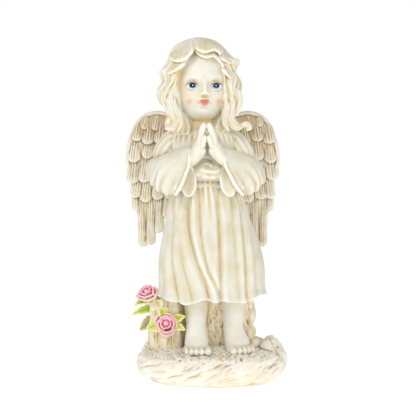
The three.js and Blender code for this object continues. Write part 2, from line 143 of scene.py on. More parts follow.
def shell(x, y, z, poles=True):
    """A closed skin: every row of the grid is a ring, joined to the next, with its faces turned outwards.
    With poles, the first and the last ring shrink to their middles."""
    points = np.stack(np.broadcast_arrays(x, y, z), -1)
    if poles:
        points[0], points[-1] = points[0].mean(0), points[-1].mean(0)
    rows, around = points.shape[:2]
    index = np.arange(rows * around).reshape(rows, around)
    a, b = index[:-1], index[1:]
    quads = np.stack([a, np.roll(a, -1, 1), np.roll(b, -1, 1), b], -1).reshape(-1, 4)
    p = points.reshape(-1, 3)
    corner = p[quads] - p.mean(0)
    one = np.einsum("ij,ij->i", corner[:, 0], np.cross(corner[:, 1], corner[:, 2]))
    two = np.einsum("ij,ij->i", corner[:, 0], np.cross(corner[:, 2], corner[:, 3]))
    return p, quads if (one + two).sum() > 0 else quads[:, ::-1]


def unit(v):
    """Vectors made one long."""
    return v / np.maximum(np.linalg.norm(v, axis=-1, keepdims=True), 1e-9)


def limb(path, half, face, around=24, along=40, blunt=4, strands=0, groove=0.0, twist=0.0):
    """An oval carried along a smooth path. half(t) gives its half width and half depth; both are rounded off
    at the ends. Strands are a cosine round the oval that turns slowly along the path."""
    turn, v = ring_grid(around, along)
    t = 0.5 - 0.5 * np.cos(np.pi * v)
    way = t[:, 0]
    knots = np.linspace(0, 1, len(path))
    middle = through(np.column_stack([knots, np.asarray(path, float)]), way)
    ahead = unit(np.gradient(middle, way, axis=0))
    across = unit(np.cross(ahead, np.asarray(face, float)))
    out = np.cross(across, ahead)
    wide, deep = half(t)
    end = rounded(2 * t - 1, blunt) * (1 + groove * np.cos(strands * turn + twist * t))
    a = (wide * end * np.cos(turn))[..., None]
    b = (deep * end * np.sin(turn))[..., None]
    return shell(*split(middle[:, None] + a * across[:, None] + b * out[:, None]))


def sheet(front, thick, blunt=8):
    """A thin closed form: a grid moved half of thick forwards along its own normals, and half backwards. The
    edges close as the root of 1 - |place|^blunt, so a large blunt gives a square edge."""
    rise = np.gradient(front, axis=0)
    run = np.gradient(front, axis=1)
    normal = unit(np.cross(run, rise))
    rows = np.linspace(-1, 1, front.shape[0])[:, None, None]
    columns = np.linspace(-1, 1, front.shape[1])[None, :, None]
    edge = np.sqrt((1 - rows ** blunt) * (1 - columns ** blunt))
    half = 0.5 * thick * edge * normal
    both = np.concatenate([front + half, (front - half)[:, ::-1]], 1)
    return shell(*split(both), poles=False)


print("a test limb has", len(limb([(0, 0, 0), (0, 0, 9)], lambda t: (1, 1), (0, 1, 0))[0]), "points")

# %% [markdown]
# ## Pouring the forms together
# The skins of one paint overlap like lumps of clay. A voxel remesh fuses them into one closed surface, as the
# mould does, and a little smoothing softens the joins. Then each point moves in or out by the piece's fine
# relief. How far a point lies below its smoothed surroundings is kept as the attribute `wash_and_shade`: in
# fine dips that is where the thin brown paint settles, and in broad hollows it lays painted shade. How far it
# stands proud is kept as `edge`, where the paint is wiped away.

# %% Casting
# The fine dip marks where the brown wash settles; the broad dip lays painted shade in wide hollows.
FINE_REACH, FINE_DIP, BROAD_SHADE_DIP = 1.2, 2.2, 0.55  # how far fine smoothing goes, and what each dip counts


def relax(points, edges, steps, share=0.5):
    """Each step moves every point a share of the way to the mean of the points it is joined to."""
    here = np.concatenate([edges[:, 0], edges[:, 1]])
    there = np.concatenate([edges[:, 1], edges[:, 0]])
    count = np.bincount(here, minlength=len(points))[:, None]
    for _ in range(steps):
        mean = [np.bincount(here, points[there, k], len(points)) for k in range(3)]
        points = points + share * (np.stack(mean, 1) / count - points)
    return points


def numbers(items, field, width, kind=np.float32):
    """One property of a whole Blender collection as an array with width columns."""
    values = np.empty(len(items) * width, kind)
    items.foreach_get(field, values)
    return values.reshape(-1, width) if width > 1 else values


def applied(piece):
    """The piece with its modifiers made part of its mesh."""
    graph = bpy.context.evaluated_depsgraph_get()
    mesh = bpy.data.meshes.new_from_object(piece.evaluated_get(graph))
    old, piece.data = piece.data, mesh
    piece.modifiers.clear()
    bpy.data.meshes.remove(old)
    mesh.name = piece.name
    return mesh


def set_points(mesh, points):
    """Write an array of points in metres to a mesh, and give back its normals."""
    mesh.vertices.foreach_set("co", points.astype(np.float32).ravel())
    mesh.update()
    return numbers(mesh.vertex_normals, "vector", 3).astype(float)


def cast(name, shells, voxel, triangles, relief=None, soften=3, reach=12):
    """One closed piece from overlapping skins: fused, softened, given relief, brown dips and painted shade,
    thinned.
    """
    starts = np.cumsum([0] + [len(p) for p, _ in shells[:-1]])
    points = np.concatenate([p for p, _ in shells]) * MM
    quads = np.concatenate([q + k for (_, q), k in zip(shells, starts)])
    mesh = bpy.data.meshes.new(name)
    mesh.vertices.add(len(points))
    mesh.loops.add(quads.size)
    mesh.polygons.add(len(quads))
    mesh.loops.foreach_set("vertex_index", quads.ravel().astype(np.int32))
    mesh.polygons.foreach_set("loop_start", np.arange(0, quads.size, 4, dtype=np.int32))
    mesh.update(calc_edges=True)
    set_points(mesh, points)
    piece = bpy.data.objects.new(name, mesh)
    bpy.context.scene.collection.objects.link(piece)
    fuse = piece.modifiers.new("fuse", "REMESH")
    fuse.mode, fuse.voxel_size = "VOXEL", voxel * MM
    mesh = applied(piece)
    edges = numbers(mesh.edges, "vertices", 2, np.int32)
    points = relax(numbers(mesh.vertices, "co", 3).astype(float), edges, soften)
    normals = set_points(mesh, points)
    if relief:
        points = points + (relief(points / MM, normals) * MM)[:, None] * normals
        points = relax(points, edges, 1, 0.3)
        normals = set_points(mesh, points)
    fine = relax(points, edges, int(FINE_REACH / voxel ** 2) + 2)
    broad = relax(fine, edges, int(reach / voxel ** 2))
    # Fine dips take the brown wash, and broad hollows take painted shade.
    dip = FINE_DIP * (fine - points) + BROAD_SHADE_DIP * (broad - points)
    dip = np.einsum("ij,ij->i", dip, normals) / MM
    for field, value in (("wash_and_shade", np.clip(dip, 0, 1)), ("edge", np.clip(-dip, 0, 1))):
        mesh.attributes.new(field, "FLOAT", "POINT").data.foreach_set("value", value.astype(np.float32))
    thin = piece.modifiers.new("thin", "DECIMATE")
    thin.ratio = min(1.0, triangles / (2 * len(mesh.polygons)))
    thin.use_collapse_triangulate = True
    mesh = applied(piece)
    mesh.polygons.foreach_set("use_smooth", np.ones(len(mesh.polygons), bool))
    print(f"{name}: {len(mesh.polygons)} triangles, wash {dip.min():.2f} to {dip.max():.2f} mm")
    return piece


# %% [markdown]
# ## The mound
# The figure stands on a low rock with a flat underside. Its sides swell out and are scored with slanting
# strokes, its top is rough like cut turf, and a pointed stone stands up at one end. The form is a profile
# swung round an oval; the strokes and the turf are noise that is drawn out along a direction.

# %% Mound and stones
MOUND_X, MOUND_WIDE, MOUND_DEEP, MOUND_TOP = 1.0, 64.0, 45.0, 29.5


def mound():
    """Profile rows of (spread, height) swung round an oval |sin|^2.5 + |cos|^2.5 with two slow waves."""
    turn, v = ring_grid(300, 120)
    row = 9 * v
    spread = through([[0, 0], [1, 0.78], [2, 0.81], [3, 0.92], [4, 0.985], [5, 1], [6, 0.97], [7, 0.85],
                      [8, 0.5], [9, 0]], row)
    height = through([[0, 0], [1, 0], [2, 1], [3, 6.5], [4, 12], [5, 18], [6, 23.5], [7, 26.5], [8, 28.5],
                      [9, MOUND_TOP]], row)
    oval = (np.abs(np.sin(turn)) ** 2.5 + np.abs(np.cos(turn)) ** 2.5) ** (-1 / 2.5)
    uneven = 1 + 0.02 * np.sin(3 * turn + 0.6) + 0.016 * np.sin(5 * turn + 2.1)
    r = spread * oval * uneven
    return shell(MOUND_X + MOUND_WIDE * r * np.sin(turn), -MOUND_DEEP * r * np.cos(turn),
                 np.maximum(height, 0))


def stone(middle, half, phase, pinch=1.0):
    """A ball with slow facets; pinch above 1 draws its poles to points."""
    turn, v = ring_grid(72, 48)
    rise = np.pi * (v - 0.5)
    rough = 1 + 0.1 * np.sin(3 * turn + phase) * np.cos(2 * rise + phase)
    rough = rough + 0.06 * np.sin(5 * turn - 2 * rise + phase)
    r = np.cos(rise) ** pinch * rough
    return shell(middle[0] + half[0] * r * np.sin(turn), middle[1] - half[1] * r * np.cos(turn),
                 middle[2] + half[2] * np.sin(rise))


def strokes(p, slant, long, short, seed):
    """Ridges, 1 - 2|noise|, of a noise drawn out along a direction that climbs by slant towards +X."""
    c, s = np.cos(slant), np.sin(slant)
    run = p[:, 0] + 0.5 * p[:, 1]
    along, across = run * c + p[:, 2] * s, p[:, 2] * c - run * s
    bent = across + 1.5 * grain(p / 14, seed + 5)
    return 1 - 2 * np.abs(grain(np.column_stack([along / long, p[:, 1] / 16, bent / short]), seed))


def mound_relief(p, n):
    """Slanting strokes on the sides, tufts on the top, broad facets on both and nothing on the underside."""
    top = ease(0.35, 0.8, n[:, 2])
    sides = 2.0 * strokes(p, 0.5, 32, 9, 3) + 0.7 * strokes(p, 0.35, 14, 3.2, 8)
    sides = sides + 0.35 * strokes(p, 0.7, 7, 1.7, 5)
    tufts = 1.2 * strokes(p[:, [0, 2, 1]], 0.9, 7, 2.6, 11) + 0.8 * strokes(p, 1.2, 5, 1.9, 17)
    facets = 1.6 * grain(p / 11, 21)
    return ease(0.5, 4, p[:, 2]) * ((1 - top) * sides + top * tufts + facets - 0.9)


ground = cast("mound", [
    mound(),
    stone((53, 2, 23), (11, 16, 14.5), 0.8, 1.35),
    stone((58, -6, 20), (7, 12, 9), 2.6),
    stone((40, 14, 24), (16, 16, 10), 2),
    stone((-52, 12, 22), (10, 20, 10), 1),
], 0.55, 100000, mound_relief)

# %% [markdown]
# ## Stump and growth
# Behind the legs a matted growth of stems props the skirt, and at one side a stump of bark carries the
# roses. Both are upright trunks whose surface is a cosine round them. Thin stems wind up the growth, and
# noise that is drawn out along the grain roughens them both.

# %% Stump and growth
GROWTH_X, GROWTH_Y, GROWTH_FOOT, STEMS = 4.0, 12.0, 22.0, 60


def trunk(x, y, wide, deep, foot, head, ribs, depth, taper):
    """An oval column that narrows by taper, with rounded ends; ribs are a cosine round it."""
    turn, v = ring_grid(160, 80)
    bark = 1 + depth * np.cos(ribs * turn + 2 * v + np.sin(2 * turn))
    r = rounded(2 * v - 1, 8) * bark * (1 - taper * v)
    return shell(x + wide * r * np.sin(turn), y - deep * r * np.cos(turn), foot + (head - foot) * v)


def stem(k):
    """A thin limb that winds up the front of the growth: its way across swings with the height."""
    z = np.linspace(GROWTH_FOOT + 1, 84, 16)
    swing = 4.2 * np.sin(z / 9 + 2.3 * k) + 1.6 * np.sin(z / 5 + 1.1 * k)
    x = GROWTH_X + 32 * (2 * ((0.618 * k) % 1) - 1) + swing
    out = np.sqrt(np.maximum(0.05, 1 - ((x - GROWTH_X) / 36) ** 2))
    y = GROWTH_Y - (13.2 - 0.03 * (z - z[0])) * out + 0.9 * np.sin(z / 4 + k)
    return limb(np.column_stack([x, y, z]), lambda t: (1.4 + 0.4 * np.sin(k), 1.7), (0, -1, 0.1), 16, 90)


def stems_relief(p, n):
    """Long upright fibres on the stump, and short winding ones on the growth."""
    bark = 0.7 * strokes(p, 1.45, 16, 1.9, 31) + 0.5 * grain(p / 3, 33)
    vines = 0.45 * strokes(p, 1.3, 10, 1.6, 38) + 0.2 * grain(p / 2.5, 39)
    side = ease(-26, -18, p[:, 0])
    return (1 - side) * bark + side * vines


growth = cast("stump_and_growth", [
    trunk(-39, 5, 17, 17, GROWTH_FOOT, 76, 7, 0.08, 0.12),
    trunk(GROWTH_X, GROWTH_Y, 35, 13, GROWTH_FOOT, 86, 6, 0.08, 0.14),
    stone((34, 6, 40), (5.5, 9, 8), 1.4),
    stone((35, 7, 55), (4.5, 8, 7), 0.4),
    stone((37, 3, 31), (6, 8, 5), 2.2),
] + [stem(k) for k in range(STEMS)], 0.5, 90000, stems_relief)

# %% [markdown]
# ## Legs and feet
# Below the hem the child's legs are smooth columns, and each bare foot is a low wedge with five toes. A leg
# is a limb along an upright path. The foot is a profile of widths and heights along its length, with limbs
# for the instep and each toe.

# %% Legs and feet
FOOT_LENGTH, HEEL = 42.0, 12.0
TOES = [(8.9, 3.0), (3.5, 2.4), (-1.0, 2.3), (-5.2, 2.1), (-9.1, 1.9)]  # place across the foot and half width


def leg(x, y, floor, yaw, side):
    """A shin from under the skirt to the ankle, an instep, five toes, and a sole that follows rows of widths
    and heights along the foot."""
    shin = limb([(x, y + 2, 96), (x, y + 1, 66), (x, y, 47), (x, y, floor - 3)],
                lambda t: (11.4 - 2.6 * ease(0.1, 0.7, t), 11 - 2 * ease(0.1, 0.7, t)), (0, -1, 0), 48, 48, 8)
    ahead = np.array([np.sin(yaw), -np.cos(yaw)])
    right = np.array([np.cos(yaw), np.sin(yaw)])

    def on_foot(share, across):
        step = share * FOOT_LENGTH - HEEL
        return x + ahead[0] * step + right[0] * across, y + ahead[1] * step + right[1] * across

    turn, v = ring_grid(64, 60)
    end = rounded(2 * v - 1, 6)
    wide = through([[0, 7.5], [0.3, 8.6], [0.55, 10], [0.8, 12], [1, 11]], v)
    tall = through([[0, 13], [0.25, 17], [0.45, 15], [0.7, 11], [0.9, 8.4], [1, 6.6]], v)
    sx, sy = on_foot(0.925 * v, -wide * end * np.cos(turn))
    instep = limb([(x, y + 1, 64), (x, y - 2, 47), (*on_foot(0.5, 0), floor + 9),
                   (*on_foot(0.8, 0), floor + 3.5)],
                  lambda t: (9.0 + 2.2 * ease(0.35, 0.9, t), 9.2 - 4.2 * t), (0, -1, 0.6), 40, 40)
    forms = [shin, instep, shell(sx, sy, floor - 2 + tall * (0.5 + 0.5 * power(np.sin(turn), 0.8) * end))]
    for k, (across, half) in enumerate(TOES):
        path = [(*on_foot(share - 0.005 * k * k, -side * across), floor + rise) for share, rise in
                ((0.74, 3.4), (0.86, 3.4), (0.95, 2.8), (1.0, 1.8))]
        forms.append(limb(path, lambda t: (half, 2.6 + 0.25 * half), (0, 0, 1), 20, 20))
    return forms


feet = leg(-13, -7, 27.3, 0.06, -1) + leg(19.5, -4, 27.5, 0.3, 1)
print("two legs and feet in", len(feet), "forms")

# %% [markdown]
# ## The head
# A round child's head is the base, and the features are raised on its front by a height for every place
# across and up: a small button nose, full cheeks, a pursed mouth and a soft chin. The eyeballs and lids are
# forms of their own, so that their edges stay crisp after casting.

# %% Head, eyes and neck
HEAD = np.array([-8.0, -5.0, 258.0])
HEAD_YAW, HEAD_WIDE, HEAD_UP, HEAD_DOWN = 0.12, 22.5, 34.0, 32.0
EYE_X, EYE_Z = 10.3, -3.0


def sway(z):
    """The upper body leans towards -X, by up to 7.5 mm between the hem and the shoulders."""
    return -7.5 * ease(80, 230, z)


def on_head(x, y, z):
    """A place given from the middle of the head, turned by its yaw and moved to where the head is."""
    c, s = np.cos(HEAD_YAW), np.sin(HEAD_YAW)
    return HEAD[0] + x * c - y * s, HEAD[1] + x * s + y * c, HEAD[2] + z


def features(x, z):
    """Millimetres that the face stands out at x across and z up: sums of bumps, one for each feature."""
    side = np.abs(x)
    bridge = 4.8 * bump(x, 2.3 + 1.1 * ease(2, -9, z)) * ease(7, -8.5, z) * ease(-12.4, -9.6, z)
    wings = 1.3 * bump(side - 2.7, 1.4) * bump(z + 9.6, 1.5)
    nostrils = 1.0 * bump(side - 1.5, 0.8) * bump(z + 11.6, 0.8)
    socket = 2.3 * bump(side - EYE_X, 5.6) * bump(z - EYE_Z - 1.0, 4.2)
    brow = 1.0 * bump(side - EYE_X, 6.5) * bump(z - 5.5, 2.6)
    cheeks = 2.2 * bump(side - 13, 6.5) * bump(z + 14, 7)
    bow = z + 15.3 - 0.5 * bump(side - 1.5, 1.1)
    upper = 1.9 * bump(x, 3.9) * bump(bow, 1.35)
    lower = 2.2 * bump(x, 3.5) * bump(z + 18.8, 1.5)
    parting = 0.9 * bump(x, 4.4) * bump(z + 17 + 0.04 * x * x, 0.6)
    corners = 0.7 * bump(side - 5.6, 1.7) * bump(z + 17.3, 1.7)
    groove = 0.5 * bump(x, 1.0) * bump(z + 12.9, 1.2)
    chin = 1.9 * bump(x, 6) * bump(z + 25.5, 3.6) - 1.0 * bump(x, 5) * bump(z + 21.7, 1.5)
    forehead = 1.4 * bump(x, 14) * bump(z - 15, 9)
    raised = bridge + wings + brow + cheeks + upper + lower + chin + forehead
    return raised - nostrils - socket - parting - corners - groove


def head():
    """A ball with its own height above and below, whose front carries the features."""
    turn, v = ring_grid(280, 240)
    z = np.where(v > 0.5, HEAD_UP, HEAD_DOWN) * -np.cos(np.pi * v)
    level = np.abs(np.sin(np.pi * v)) ** np.where(v > 0.5, 0.86, 0.78)
    x, y = HEAD_WIDE * level * np.sin(turn), -HEAD_WIDE * level * np.cos(turn)
    return shell(*on_head(x, y - features(x, z) * ease(0, 0.6, np.cos(turn)) * level, z))


def ball(middle, half):
    """An egg with three half sizes, set on the head."""
    turn, v = ring_grid(48, 32)
    r = np.sin(np.pi * v)
    return shell(*on_head(middle[0] + half[0] * r * np.sin(turn), middle[1] - half[1] * r * np.cos(turn),
                          middle[2] - half[2] * np.cos(np.pi * v)))


def eye(side):
    """The eyeball, an upper lid with its fold above it, and a thin lower lid."""
    def arc(points, wide, deep):
        path = np.column_stack(on_head(*np.array([(side * x, y, EYE_Z + z) for x, y, z in points]).T))
        return limb(path, lambda t: (wide * (0.55 + 0.45 * np.sin(np.pi * t)), deep), (0, -1, 0), 16, 30)
    globe = ball((side * EYE_X, -16.7, EYE_Z), (5.2, 3.8, 3.4))
    lid = arc([(5.3, -20.2, -1.2), (7.3, -21.1, 1.9), (10.4, -21.0, 3.0), (13.4, -19.7, 2.1),
               (15.4, -17.8, -0.6)], 1.0, 0.95)
    under = arc([(5.6, -20.0, -1.3), (8.0, -20.5, -2.5), (10.5, -20.4, -2.8), (13.2, -19.3, -2.1),
                 (15.1, -17.7, -0.7)], 0.7, 0.7)
    return [globe, lid, under]


# Heights up the chest and the neck, with half widths and half depths.
CHEST_ROWS = [[196, 25, 18], [212, 27, 17.5], [217, 23, 15.5], [221, 15.5, 13.5], [226, 12.2, 12],
              [242, 12, 12]]


def chest():
    """The bare top of the chest and the neck: ovals whose half sizes follow the rows."""
    turn, v = ring_grid(72, 50)
    z = CHEST_ROWS[0][0] + (CHEST_ROWS[-1][0] - CHEST_ROWS[0][0]) * v
    wide, deep = split(through(CHEST_ROWS, z)) * rounded(2 * v - 1, 12)
    return shell(sway(z) + wide * np.sin(turn), -deep * np.cos(turn), z)


faces = [head(), chest()] + eye(-1) + eye(1)
print("head, neck, eyes and lids in", len(faces), "forms")

# %% [markdown]
# ## Praying hands
# The palms lie against each other with the fingertips up, so the viewer sees the edges of both hands and the
# thin gap between them. Each hand is a palm that bends up out of the wrist, four fingers that lean on their
# fellows, and a thumb with its pad, which closes the gap.

# %% Hands
HANDS_X, FINGERTIPS = 3.6, 222.0


def hand(side):
    """A palm, the pad of the thumb, four fingers side by side and the thumb, as limbs along bent paths."""
    def at(x, y, z):
        return sway(z) + HANDS_X + side * x, y, z
    face = (side, 0, 0.4)
    palm = limb([at(25, -15, 189), at(16.5, -26, 191.5), at(10, -30.5, 196.5), at(6.6, -32, 203),
                 at(4.6, -32, 210)],
                lambda t: (6.2 + 1.4 * np.sin(np.pi * t) ** 2, 5.4 + 0.5 * np.sin(np.pi * t)), face, 32, 40)
    pad = limb([at(13, -28, 193), at(7, -32.5, 197.5), at(3.4, -35, 203.5)],
               lambda t: (4.6, 4.4), face, 24, 30)
    forms = [palm, pad]
    for k in range(4):
        y, tip = -36.6 + 3.7 * k, FINGERTIPS + 1.6 * np.sin(1 + 0.75 * k)
        path = [at(7.8, y + 0.8, 201), at(5.9, y, 208), at(4.8, y, 213.5), at(3.2, y + 0.2, 218.5),
                at(1.7, y + 0.6, tip)]
        forms.append(limb(path, lambda t: (2.3, 3.1 - 0.3 * bump(t - 0.5, 0.12) - 0.4 * t), face, 20, 40))
    thumb = [at(7.5, -31, 198.5), at(4.0, -35.5, 204), at(2.3, -37, 209), at(1.7, -36.8, 213)]
    return forms + [limb(thumb, lambda t: (3.0, 2.3), face, 20, 30)]


skin = cast("face_and_limbs", feet + faces + hand(-1) + hand(1), 0.4, 150000, soften=2)

# %% [markdown]
# ## The skirt
# The gathered skirt hangs from the belt in soft folds that swing towards the middle at the hem, and it is
# hollow underneath. A cloth simulation would give other folds than the sculptor's, so each main fold of the
# front is a line across the cloth with a valley along it and a low ridge on both sides. The back has an even
# row of folds.

# %% Skirt
HEM, WAIST, SKIRT_TOP, SKIRT_DEPTH = 69.5, 176.0, 182.0, 0.8
SKIRT_ROWS = [[HEM, 46], [92, 46], [107, 45], [123, 41.5], [138, 37.2], [153, 33.5], [163, 31], [WAIST, 25.5]]
# Each fold: its place across at rising heights, then its depth and half width.
FRONT_FOLDS = [
    ([[70, -27], [85, -31], [110, -34], [155, -33]], 2.2, 2.3),
    ([[70, -1], [88, -5], [107, -12.7], [131, -19.4], [155, -21]], 2.7, 2.4),
    ([[70, 9], [84, 5], [100, -2.8], [129, -8.9], [168, -9.5]], 2.0, 2.0),
    ([[70, 8.6], [120, 7.6], [168, 6]], 2.2, 1.9),
    ([[80, 24], [110, 21.5], [160, 18]], 1.2, 2.2),
    ([[70, 31], [110, 29.5], [150, 26]], 2.2, 2.1),
    ([[70, 40], [110, 38], [140, 34]], 1.6, 2.2),
    ([[70, -42], [110, -41], [140, -36]], 1.2, 2.4),
    ([[70, -15], [85, -19], [105, -25], [120, -27]], 1.3, 2.4),
]
FRONT_HEM = [[-47, 5], [-38, 3], [-27, 1.5], [-20, 0.2], [-12, 2.6], [-5, 4.8], [2, 2.6], [10, 3.4], [23, 2],
             [31, 2], [37, 5], [47, 6]]


def folds(turn, across, z):
    """Millimetres the cloth stands out: valleys with ridges beside them in front, a waved cosine behind."""
    front = ease(-0.1, 0.25, np.cos(turn))
    total = np.zeros_like(z)
    for rows, depth, half in FRONT_FOLDS:
        off = across - through(rows, z)
        there = ease(rows[-1][0] + 14, rows[-1][0] - 10, z) * depth
        total += there * (0.45 * bump(np.abs(off) - 2.4 * half, 1.7 * half) - bump(off, half))
    phase = 13 * turn + 1.4 * np.sin(2 * turn + 0.8) + 1.1 * np.sin(3 * turn + 2)
    behind = (4.6 - 2.6 * ease(HEM, WAIST, z)) * (0.5 * np.cos(phase) + 0.1)
    gathers = 0.75 * ease(136, 168, z) * np.cos(31 * turn + 2 * np.sin(5 * turn))
    return front * total + (1 - front) * behind + gathers


def skirt():
    """Ovals up a row of half widths, pushed in and out by the folds; the first share of v is the hollow."""
    hollow = 2 / 9
    turn, v = ring_grid(420, 220)
    turn = turn - np.pi
    t = np.clip((v - hollow) / (1 - hollow), 0, 1)
    inner = np.clip(v / hollow, 0, 1)
    up = t ** 0.9
    level = HEM + (SKIRT_TOP - HEM) * up
    plain = through(SKIRT_ROWS, level)
    across = plain * np.sin(turn)
    wave = np.where(np.cos(turn) > 0, through(FRONT_HEM, across), 4 + 1.5 * np.sin(9 * turn))
    front_or_back = ease(0, 0.3, np.abs(np.cos(turn)))
    wave = wave * front_or_back + 5 * (1 - front_or_back)
    z = level + (1 - up) ** 5 * wave * ease(0.2, 1, inner)
    out = folds(turn, sway(z) + across, z) + 1.6 * bump(up, 0.045)
    close = np.where(t > 0, np.clip((1 - v) / 0.04, 0, 1), 0.93 * inner ** 0.3 + 0.07 * ease(0.75, 1, inner))
    rise = np.where(t > 0, 0, 11 * (1 - ease(0.3, 1, inner)))
    wide, deep = (plain + out) * close, (plain * SKIRT_DEPTH + out) * close
    return shell(sway(z) + wide * np.sin(turn), -deep * np.cos(turn), z + rise)


print("skirt with", len(FRONT_FOLDS), "main folds in front, from", HEM, "to", SKIRT_TOP, "mm")

# %% [markdown]
# ## Bodice and sleeves
# The blouse is gathered at a narrow belt and hangs over it in a small pouch with round folds. Each sleeve
# has two parts: a full upper arm, and a wide bell that hangs open below the wrist. The rim of the bell is a
# closed curve through ten points, and the bell is blended from a round elbow to that curve, then turned
# inside to make the mouth hollow.

# %% Bodice and sleeves
# Heights up the bodice, with half widths and half depths: the belt, the groove above it, then the blouse.
BODICE_ROWS = [[163, 25, 20], [166, 27, 21.8], [168, 27.8, 22.6], [172, 27.4, 22.4], [173.6, 25.8, 20.8],
               [176, 27, 22], [181, 28.6, 23.4], [188, 29.5, 22.6], [198, 31, 21], [208, 31.5, 19.5],
               [214, 30, 18.6], [217.5, 28, 17.8], [219.5, 24, 15.5]]
SWIRL_X, SWIRL_Z, SWIRL_PITCH = 3, 188, 8


def bodice():
    """Ovals that follow the rows, with a belt, a pouch in front and a swirl of folds on the pouch."""
    turn, v = ring_grid(260, 200)
    turn = turn - np.pi
    z = BODICE_ROWS[0][0] + (BODICE_ROWS[-1][0] - BODICE_ROWS[0][0]) * v
    wide, deep = split(through(BODICE_ROWS, z))
    end = rounded(2 * v - 1, 16)
    across = wide * np.sin(turn)
    front = ease(0.1, 0.6, np.cos(turn))
    pouch = 9.5 * bump(across - 4, 12) * bump(z - 181.5, 8) * ease(173.2, 176.5, z)
    far = np.hypot(across - SWIRL_X, 1.2 * (z - SWIRL_Z))
    swirl = TAU * far / SWIRL_PITCH - np.arctan2(z - SWIRL_Z, across - SWIRL_X)
    rounds = (1.1 + 0.4 * np.sin(0.5 * across)) * np.cos(swirl + 0.5 * np.sin(0.4 * z))
    rounds = rounds * ease(173.6, 177, z) * ease(200, 192, z) * bump(across - 4, 13)
    gathers = 0.5 * np.cos(30 * turn + np.sin(4 * turn)) * bump(z - 177, 4)
    collar = 0.7 * np.cos(34 * turn + np.sin(3 * turn)) * bump(z - 212, 5) + 0.9 * bump(z - 217.6, 1.1)
    belt = 0.45 * bump(z - 169.8, 1.0) - 0.3 * bump(z - 167.4, 0.8)
    out = front * (pouch + rounds) + gathers + collar + belt
    return shell(sway(z) + (wide + out) * end * power(np.sin(turn), 0.92),
                 -(deep + out) * end * power(np.cos(turn), 0.92), z)


# The rim of a bell from the wrist over the front edge to the lowest point, and back up behind.
CUFF_RIM = [(13.6, -29, 202.6), (14.6, -34, 195.5), (15.6, -36, 187), (18.6, -37, 180), (22, -36.5, 172.5),
            (27.6, -32.5, 163.8), (29, -26, 164.5), (24, -21, 174), (20, -21, 186), (17, -23, 197.5)]
# Places along a bell: share of the way, distance out, back, top, bottom and half thickness.
BELL = [[0, 47.5, 2, 187, 185, 1], [0.06, 46.6, 1, 191.5, 177.5, 7], [0.2, 43, -3, 194.5, 169, 10.5],
        [0.4, 37, -10, 196.5, 164, 12.5], [0.65, 30, -18, 200, 162.3, 12.5], [1, 19, -29, 202, 162.3, 9]]
# Places down the lobe: share of the way, distance out, back and height.
LOBE = [[0, 18, -25, 193], [0.3, 16.6, -25.5, 183], [0.65, 16.4, -27, 172], [1, 17.6, -28, 160.8]]


def sleeve(side):
    """An upper arm with creases, a bell blended from ovals into the cuff's rim, its rolled hem, a filling in
    its lower corner and the lobe behind the rim."""
    def at(x, y, z):
        return np.stack([sway(z) + side * x + 2.7 * ease(0, -28, y), y + 0 * z, z + 0 * x], -1)
    arm = limb(at(*np.array([(17, 3, 211.5), (26, 2, 208.5), (34, -1, 197), (38.5, -3, 182)]).T),
               lambda t: (10.8 - 2.4 * ease(0.6, 1, t), 12.4 - 3 * ease(0.6, 1, t)), (0, -1, 0), 96, 80,
               blunt=3, strands=11, groove=0.045, twist=5)
    rim = at(*np.array(CUFF_RIM, float).T)
    count = len(rim)
    wrapped = np.column_stack([np.arange(-2, count + 3), np.vstack([rim[-2:], rim, rim[:3]])])
    turn, v = ring_grid(180, 170)
    edge = through(wrapped, turn * count / TAU)
    outside = 0.72
    t = np.clip(v / outside, 0, 1)
    inside = np.clip((v - outside) / (1 - outside), 0, 1)[..., None]
    out, back, top, bottom, thick = split(through(BELL, t))
    up, lip = np.cos(turn), np.sin(turn)
    below = np.pi - turn
    crease = 0.4 * np.sin(4 * turn - 5 * t + 0.6) * np.sin(np.pi * t)
    for start, lean in ((0.16, 0.2), (0.36, 0.17), (0.6, 0.1)):
        off = t - start - lean * np.abs(below)
        fold = 0.7 * bump(np.abs(off) - 0.085, 0.06) - 1.2 * bump(off, 0.045)
        crease = crease + ease(2.3, 1.2, np.abs(below)) * fold
    z = 0.5 * (top + bottom) + (0.5 * (top - bottom) + crease) * up
    bell = at(out + 0.7 * (thick + crease) * lip, back - 0.72 * (thick + crease) * lip, z)
    blend = ease(0.5, 1, t)[..., None]
    outer = (1 - blend) * bell + blend * edge
    mouth = rim.mean(0)
    wall = 2.1 * np.sqrt(np.clip(inside / 0.07, 0, 1))
    shrink = rounded(np.clip((inside - 0.1) / 0.9, 0, 1), 2)
    deep_in = at(np.float64(30), np.float64(-18), np.float64(182)) - mouth
    inner = mouth + 0.3 * deep_in * ease(0, 1, inside) + shrink * (edge - mouth - wall * unit(edge - mouth))
    cuff = shell(*split(np.where(inside > 0, inner, outer)))
    s, r = np.meshgrid(np.linspace(-1, 1, 40), np.linspace(0, 1, 60))
    x, y, z = split(through(LOBE, r))
    half = 6.6 * rounded(np.clip((r - 0.62) / 0.38, 0, 1), 2) * (0.55 + 0.45 * ease(0, 0.5, r))
    lobe = at(x + s * half, y - 0.4 * s * s * half, z)
    hem = limb(through(wrapped, np.linspace(0.3, 6.2, 28)), lambda t: (1.5, 1.5), (0, -1, 0.2), 20, 120)
    corner = limb(at(*np.array([(22, -30, 178), (25, -30, 171), (27.8, -29.4, 166)], float).T),
                  lambda t: (4.2, 4), (0, -1, 0))
    return [arm, cuff, hem, corner, sheet(lobe, 2.6)]


dress = cast("dress", [skirt(), bodice()] + sleeve(-1) + sleeve(1), 0.5, 170000)

# %% [markdown]
# ## The hair
# Thick wavy hair falls from a parting, lies over the forehead in scalloped bangs with a turned-up lip, and
# rolls down to the shoulders. Real strands would be far too fine for a casting, so the sculptor carves
# locks. The mass is one skin of rings up the head: each ring leaves the face at the hairline, swells to the
# outline, goes round the back and returns, and grooves that follow the outline make the locks. The bangs
# are thick sheets laid over it, and the free ends are flat limbs.

